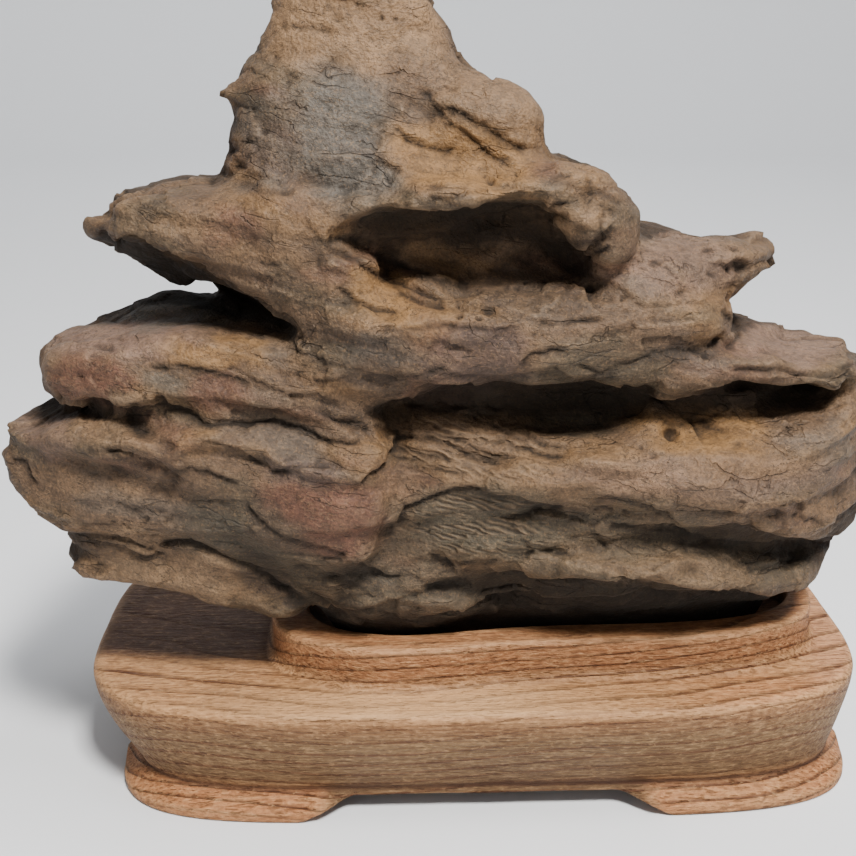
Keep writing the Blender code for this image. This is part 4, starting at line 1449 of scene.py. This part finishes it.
@dataclass(frozen=True)
class Outline:
    """A rounded oblong: the superellipse |x/a|^n + |y/b|^n = 1 round its own middle.

    Attributes:
        half_length: Its reach along the stand.
        half_width: Its reach across the stand.
        power: How square its corners are.
        middle: Its middle, from the deck's middle.
        left_power: How square its left corners are, where they differ.
        swell: How far its front swells out left of the middle.
    """

    half_length: float
    half_width: float
    power: float
    middle: tuple[float, float] = (0.0, 0.0)
    left_power: Optional[float] = None
    swell: float = 0.0

    def ring(self, inset: float, columns: int, shrink: float = 1.0) -> Array:
        """Returns evenly spaced places round the outline.

        In a direction the reach is (|cos/a|^n + |sin/b|^n)^(-1/n). The places are spaced
        by the length of the way round. The front swells by a bell curve along its length.

        Args:
            inset: How far inside the outline the ring lies; negative is outside.
            columns: How many places it has.
            shrink: A factor that draws the ring towards its middle.

        Returns:
            The places, across and deep.
        """
        turn = np.linspace(0.0, 2.0 * math.pi, 4001)
        power = np.where(np.cos(turn) < 0.0, self.left_power or self.power, self.power)
        reach = (np.abs(np.cos(turn) / (self.half_length - inset)) ** power
                 + np.abs(np.sin(turn) / (self.half_width - inset)) ** power) ** (-1.0 / power)
        middle = np.array(self.middle)
        places = np.column_stack((reach * np.cos(turn), reach * np.sin(turn))) + middle
        front = ease(-places[:, 1], 0.0, 28.5)
        places[:, 1] -= self.swell * np.exp(-((places[:, 0] + 23.0) / 26.0) ** 2) * front
        way = np.concatenate(([0.0], np.cumsum(np.linalg.norm(np.diff(places, axis=0), axis=1))))
        at = np.arange(columns) / columns * way[-1]
        even = np.stack([np.interp(at, way, places[:, part]) for part in range(2)], axis=1)
        return middle + (even - middle) * shrink


@dataclass(frozen=True)
class Arch:
    """A low arch between two feet, the same all the way through.

    Attributes:
        middle: Its middle along the side it is in.
        half: Its half width at full height.
        height: Its height.
    """

    middle: float
    half: float
    height: float = 5.6

    def rise(self, along: Array) -> Array:
        """Returns the arch's height: full over its half width, then down a soft S-shaped ramp."""
        out = np.abs(along - self.middle) - self.half
        ramp = (self.height, 5.4, 4.8, 2.6, 0.35, 0.0)
        return np.interp(out, (0.0, 1.5, 3.5, 8.0, 12.5, 14.5), ramp)


# Each profile is a row of rings: how far inside its outline a ring lies, and its height.
FOOT_PROFILE: Profile = (
    (20.0, 4.6), (20.0, 2.9), (20.0, 1.4), (20.0, 0.5), (19.4, 0.0), (17.5, 0.0), (15.0, 0.0),
    (12.0, 0.0), (9.0, 0.0), (6.0, 0.0), (3.0, 0.0), (1.4, 0.0), (0.6, 0.0), (0.3, 0.25),
    (0.08, 0.55), (0.0, 0.9), (0.0, 1.5), (0.0, 2.2), (0.12, 2.75), (0.42, 3.2), (0.9, 3.7),
    (1.6, 4.4), (2.4, 5.1), (3.2, 5.85), (3.9, 6.6), (4.4, 7.2),
)
DECK_PROFILE: Profile = (
    (0.05, 32.1), (0.2, 32.7), (0.5, 33.25), (0.95, 33.7), (1.5, 34.0), (2.2, 34.2),
)
WALL_PROFILE: Profile = (
    (-2.1, 34.35), (-1.6, 34.7), (-1.1, 35.2), (-0.65, 35.8), (-0.3, 36.5), (-0.12, 37.4),
    (0.0, 38.6), (0.0, 40.0), (0.0, 41.5), (0.0, 43.0), (0.0, 44.2), (0.1, 44.95), (0.35, 45.5),
    (0.8, 45.85), (1.4, 46.0),
)
SEAT_PROFILE: Profile = (
    (-0.6, 45.8), (-0.2, 45.4), (0.0, 44.8), (0.0, 42.5), (0.0, 40.0), (0.15, 38.8), (0.6, 38.2),
    (1.4, 38.0),
)
# The bowl-shaped side: heights, and how far out from the body's foot to the deck's edge.
SIDE_HEIGHTS = (7.7, 10.0, 14.0, 19.0, 24.0, 28.5, 31.5)
SIDE_SHARES = (0.0, 0.10, 0.33, 0.62, 0.85, 0.98, 1.0)
SIDE_RINGS = 34


@dataclass
class WoodenStand:
    """The stand: one block with flared corner feet, bowl-shaped sides, a deck and a walled seat.

    Attributes:
        columns: How many points each ring has.
        deck: The deck's edge.
        foot: The feet's outer edge.
        wall: The seat wall's outside.
        seat: The seat's inside.
        deck_height: The deck above the table.
        rim_height: The top of the seat's wall.
        floor_height: The seat's floor.
        hollow_height: The top of the hollow between the feet.
        hollow_inset: How far inside the feet's edge the hollow lies.
        flare: How far the feet stand out beyond the body.
        crease_height: Where the feet's flare meets the body.
        arches: The front arch and the side arch.
    """

    columns: int = 600
    deck: Outline = Outline(108.0, 53.8, 3.7)
    foot: Outline = Outline(103.6, 51.0, 5.0, (3.0, -0.5))
    wall: Outline = Outline(77.5, 36.5, 3.4, (20.0, 0.0), 5.0, 4.6)
    seat: Outline = Outline(69.5, 28.5, 3.4, (22.0, 1.0), 5.0, 4.6)
    deck_height: float = 34.2
    rim_height: float = 46.0
    floor_height: float = 38.0
    hollow_height: float = 6.4
    hollow_inset: float = 20.0
    flare: float = 4.8
    crease_height: float = 7.7
    arches: tuple[Arch, Arch] = (Arch(1.5, 36.5), Arch(0.0, 12.0))

    def lift(self, x: Array, y: Array) -> Array:
        """Returns the higher of the two arches' heights at each place."""
        return np.maximum(self.arches[0].rise(x), self.arches[1].rise(y))

    def level_ring(self, outline: Outline, inset: float, height: float,
                   shrink: float = 1.0) -> Array:
        """Returns a level ring of points."""
        places = outline.ring(inset, self.columns, shrink)
        return np.column_stack((places, np.full(self.columns, height)))

    def level_rings(self, outline: Outline, profile: Profile) -> list[Array]:
        """Returns a level ring for each row of a profile."""
        return [self.level_ring(outline, inset, height) for inset, height in profile]

    def flat_rings(self, outer: Array, inner: Array, height: float, count: int) -> list[Array]:
        """Returns evenly spaced level rings from one ring of places, left out, to another."""
        level = np.full(self.columns, height)
        return [np.column_stack((blend(outer, inner, share), level))
                for share in np.linspace(0.0, 1.0, count + 1)[1:]]

    def foot_ring(self, inset: float, height: float) -> Array:
        """Returns a ring of the feet, lifted over the arches.

        The height is the arch's plus the ring's own, squeezed into what is left below the
        crease. Over an arch the flare draws back to the body.

        Args:
            inset: How far inside the feet's edge the ring lies.
            height: Its height on a foot.

        Returns:
            The ring's points.
        """
        full = self.foot.ring(inset, self.columns)
        lift = self.lift(full[:, 0], full[:, 1])
        raised = lift + height * (1.0 - lift / self.crease_height)
        if inset < self.flare:
            back = self.foot.ring(self.flare, self.columns)
            full = blend(full, back, ease(lift, 2.2, self.arches[0].height)[:, None])
        return np.column_stack((full, raised))

    def side_rings(self) -> list[Array]:
        """Returns the bowl-shaped side's rings, their bulge evened out three times."""
        low = self.foot.ring(self.flare, self.columns)
        high = self.deck.ring(0.0, self.columns)
        heights = np.linspace(SIDE_HEIGHTS[0], SIDE_HEIGHTS[-1], SIDE_RINGS)
        shares = np.interp(heights, SIDE_HEIGHTS, SIDE_SHARES)
        for _ in range(3):
            shares[1:-1] = (shares[:-2] + 2.0 * shares[1:-1] + shares[2:]) / 4.0
        return [np.column_stack((blend(low, high, share), np.full(self.columns, height)))
                for share, height in zip(shares, heights)]

    def rings(self) -> Array:
        """Returns all rings, from the middle of the hollow underneath to the seat's middle."""
        rows = [self.level_ring(self.foot, self.hollow_inset, self.hollow_height, shrink)
                for shrink in (0.04, 0.3, 0.55, 0.78, 0.93)]
        rows.append(self.level_ring(self.foot, self.hollow_inset, self.hollow_height - 0.3))
        rows += [self.foot_ring(inset, height) for inset, height in FOOT_PROFILE]
        rows += self.side_rings()
        rows += self.level_rings(self.deck, DECK_PROFILE)
        rows += self.flat_rings(self.deck.ring(DECK_PROFILE[-1][0], self.columns),
                                self.wall.ring(-2.6, self.columns), self.deck_height, 29)
        rows += self.level_rings(self.wall, WALL_PROFILE)
        rows += self.flat_rings(self.wall.ring(WALL_PROFILE[-1][0], self.columns),
                                self.seat.ring(-1.2, self.columns), self.rim_height, 4)
        rows += self.level_rings(self.seat, SEAT_PROFILE)
        rows += [self.level_ring(self.seat, SEAT_PROFILE[-1][0], self.floor_height, shrink)
                 for shrink in (0.85, 0.6, 0.3, 0.05)]
        return np.stack(rows)

    def carve(self, mesh: bpy.types.Mesh) -> None:
        """Gives the surface a hand-carved waver: slow noise along the outward direction.

        The soles, the seat and the hollow stay flat.

        Args:
            mesh: The stand's mesh, from the deck's middle.
        """
        points = read_points(mesh)
        normals = read_normals(mesh)
        shown = ease(points[:, 2], 0.4, 2.5)
        in_seat = self.seat_share(points) * (points[:, 2] > self.floor_height - 1.0)
        waver = 0.30 * smooth_noise(points / 21.0, 301) + 0.12 * smooth_noise(points / 8.0, 302)
        push = waver * shown * (1.0 - in_seat)
        write_points(mesh, points + normals * push[:, None])

    def seat_share(self, points: Array) -> Array:
        """Returns 1 inside the seat's outline and 0 outside it."""
        across = (points[:, 0] - self.seat.middle[0]) / (self.seat.half_length + 0.4)
        deep = (points[:, 1] - self.seat.middle[1]) / (self.seat.half_width + 0.4 + self.seat.swell)
        return (np.abs(across) ** 4 + np.abs(deep) ** 4 < 1.0).astype(float)

    def keep_attributes(self, mesh: bpy.types.Mesh) -> None:
        """Stores the wood's tint with a painted shadow on the deck, where it is worn or bleached,
        and where dirt and painted shade lie.

        Args:
            mesh: The stand's mesh, from the deck's middle.
        """
        points = read_points(mesh)
        normals = read_normals(mesh)
        x, y, z = points.T
        fine = hollowness(points, normals, read_edges(mesh), 6)
        lift = self.lift(x, y)
        on_deck = ease(normals[:, 2], 0.5, 0.9) * ease(z, 33.0, 34.0) * ease(z, 36.5, 35.0)
        on_side = np.maximum(ease(z, 8.0, 11.0), ease(lift, 1.5, 4.8) * ease(z, 1.0, 4.0))
        on_side *= ease(z, 34.0, 30.0)
        on_foot = ease(z, 9.5, 7.0) * ease(lift, 4.8, 1.5)
        on_rim = ease(z, 35.5, 38.0)
        cloud = rough_noise(points / 30.0, 3, 311)
        tint = np.tile(np.array(Wood.TAN.value), (len(points), 1))
        for wood, share in (
                (Wood.SIDE, on_side * 0.9),
                (Wood.RED, on_rim * 0.8 + on_side * ease(z, 24.0, 33.0) * 0.5),
                (Wood.ORANGE, on_foot * (0.55 + 0.3 * cloud)),
                (Wood.ORANGE, on_deck * ease(x, 30.0, 75.0) * ease(y, -30.0, -42.0) * 0.45),
                (Wood.PINK, on_deck * ease(x, 86.0, 100.0) * 0.7),
                # Painted shadow of the stone on the deck's left back part.
                (Wood.SHADED, on_deck * ease(x, -44.0, -58.0) * ease(y, -25.0, -17.0) * 0.85)):
            tint = lay(tint, wood.value, np.clip(share, 0.0, 1.0))
        bleached = on_deck * bell(x + 18.0, 46.0) * ease(y, -34.0, -46.0)
        speck = ease(smooth_noise(points / 1.9, 321), 0.42, 0.6) * on_foot * ease(z, 0.0, 2.0)
        speck *= ease(smooth_noise(points / 14.0, 322), 0.0, 0.4)
        grime_and_shade = ease(fine, 0.03, 0.3) * 0.7 + speck * 0.8
        # Painted shade: a dark line in the crease above the feet.
        grime_and_shade += bell(z - self.crease_height - 0.4, 1.0) * 0.85
        # Painted shade under downward faces; the sides grow darker towards the bottom.
        grime_and_shade += ease(-normals[:, 2], 0.4, 0.9) * 0.35 + on_side * ease(z, 22.0, 8.0) * 0.3
        wear = bleached * 0.9 + ease(-fine, 0.03, 0.25) * 0.35
        store_colour(mesh, "tint", tint)
        store_share(mesh, "wear", np.clip(wear, 0.0, 1.0))
        store_share(mesh, "grime_and_shade", np.clip(grime_and_shade, 0.0, 1.0))

    def build(self) -> bpy.types.Object:
        """Makes the stand's surface, carves and dresses it.

        Returns:
            The finished stand.
        """
        mesh = ring_mesh("wooden_stand_body", self.rings())
        self.carve(mesh)
        self.keep_attributes(mesh)
        write_points(mesh, read_points(mesh) + np.array([STAND_SHIFT, 0.0, 0.0]))
        stand = add_object("carved_stand", mesh)
        mesh.materials.append(OiledHardwoodFinish().build())
        return stand


# ---- The studio --------------------------------------------------------------------

@dataclass(frozen=True)
class AreaLight:
    """A square soft light.

    Attributes:
        name: Its name.
        place: Where it is, in metres.
        aim: What it points at, in metres.
        size: Its side, in metres.
        power: Its power in watts.
        colour: Its colour.
    """

    name: str
    place: tuple[float, float, float]
    aim: tuple[float, float, float]
    size: float
    power: float
    colour: Colour = (1.0, 1.0, 1.0)

    def build(self) -> None:
        """Puts the light into the scene."""
        lamp = bpy.data.lights.new(self.name, "AREA")
        lamp.size, lamp.energy, lamp.color = self.size, self.power, self.colour
        holder = bpy.data.objects.new(self.name, lamp)
        holder.location = self.place
        line = Vector(self.aim) - Vector(self.place)
        holder.rotation_euler = line.to_track_quat("-Z", "Y").to_euler()
        bpy.context.scene.collection.objects.link(holder)


@dataclass
class Studio:
    """A pale floor that curves up all round into a wall, soft lights, and the camera.

    Attributes:
        flat: How far out the floor is flat, in metres.
        bend: The radius of its bend.
        wall: The wall's height.
        sensor: The width of the camera's sensor.
        lens: The camera's focal length, in the sensor's unit.
        look_down: How far the camera looks down, in degrees.
        heading: How far it is turned to the left, in degrees; negative is to the right.
        room: The room's own light: its colour.
        room_strength: How strong that is.
        lights: The lights.
    """

    flat: float = 1.5
    bend: float = 0.8
    wall: float = 2.6
    sensor: float = 36.0
    lens: float = 36.0 * 1150.0 / 856.0
    look_down: float = 20.0
    heading: float = -1.8
    room: Colour = (0.86, 0.88, 0.9)
    room_strength: float = 0.06
    lights: tuple[AreaLight, ...] = (
        AreaLight("key_light", (0.20, -0.50, 0.95), (0.0, -0.01, 0.09), 0.20, 21.4,
                  (1.0, 0.98, 0.95)),
        AreaLight("top_light", (0.35, -0.05, 1.25), (0.0, 0.0, 0.09), 0.5, 8.0, (0.97, 0.98, 1.0)),
        AreaLight("front_fill", (-0.6, -1.2, 0.6), (0.0, 0.0, 0.09), 1.0, 1.2, (0.97, 0.98, 1.0)),
        AreaLight("wall_light", (0.0, 0.9, 1.7), (0.0, 2.3, 0.8), 1.2, 26.0, (0.98, 0.99, 1.0)),
    )

    def floor(self) -> None:
        """Makes the floor: a profile carried round the middle.

        The profile is flat out to the bend, then a quarter circle, then upright.
        """
        bend = np.linspace(0.0, math.pi / 2.0, 25)
        edge = self.flat + self.bend
        out = np.concatenate(([0.02, 0.5, 1.0], self.flat + self.bend * np.sin(bend), [edge]))
        high = np.concatenate((np.zeros(3), self.bend * (1.0 - np.cos(bend)), [self.wall]))
        turn = np.linspace(0.0, 2.0 * math.pi, 97)[:-1]
        grid = np.stack((out[:, None] * np.cos(turn), out[:, None] * np.sin(turn),
                         np.repeat(high[:, None], len(turn), axis=1)), axis=2)
        number = np.arange(len(out) * len(turn)).reshape(len(out), len(turn))
        after = np.roll(number, -1, axis=1)
        faces = np.stack((number[:-1], number[1:], after[1:], after[:-1]), axis=2).reshape(-1, 4)
        mesh = bpy.data.meshes.new("studio_floor")
        mesh.from_pydata(grid.reshape(-1, 3).tolist(), [], faces.tolist() + [number[0].tolist()])
        sheet = add_object("studio_floor", mesh)
        mesh.materials.append(StudioFloorFinish().build())

    def surroundings(self) -> None:
        """Gives the room an even pale light."""
        world = bpy.data.worlds.new("studio")
        world.use_nodes = True
        background = world.node_tree.nodes["Background"]
        background.inputs["Color"].default_value = (*self.room, 1.0)
        background.inputs["Strength"].default_value = self.room_strength
        bpy.context.scene.world = world

    def camera(self) -> None:
        """Sets the camera where the front sheet's eye is, looking down at the stone."""
        lens = bpy.data.cameras.new("front_view")
        lens.sensor_width = self.sensor
        lens.lens = self.lens
        lens.clip_start = 0.01
        holder = bpy.data.objects.new("front_view", lens)
        eye = FrontSheet().eye
        holder.location = Vector((eye[0] + STAND_SHIFT, eye[1], eye[2])) * MM
        holder.rotation_euler = (math.radians(90.0 - self.look_down), 0.0,
                                 math.radians(self.heading))
        bpy.context.scene.collection.objects.link(holder)
        bpy.context.scene.camera = holder

    def build(self) -> None:
        """Makes the floor, the lights, the room's light and the camera."""
        self.floor()
        for light in self.lights:
            light.build()
        self.surroundings()
        self.camera()


def main() -> None:
    """Builds the stone, the stand and the studio, and hides the solids that they stand in for."""
    logging.basicConfig(level=logging.INFO, format="%(message)s")
    for piece, node, slot in ((ViewingStone().build(), "viewing_stone", "brown_sandstone"),
                              (WoodenStand().build(), "wooden_stand", "oiled_hardwood")):
        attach(piece, "root")
        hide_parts(node)
        LOG.info("%s: %d points, %d faces", piece.name, len(piece.data.vertices),
                 len(piece.data.polygons))
    Studio().build()
    LOG.info("boxes written")


if __name__ == "__main__":
    main()
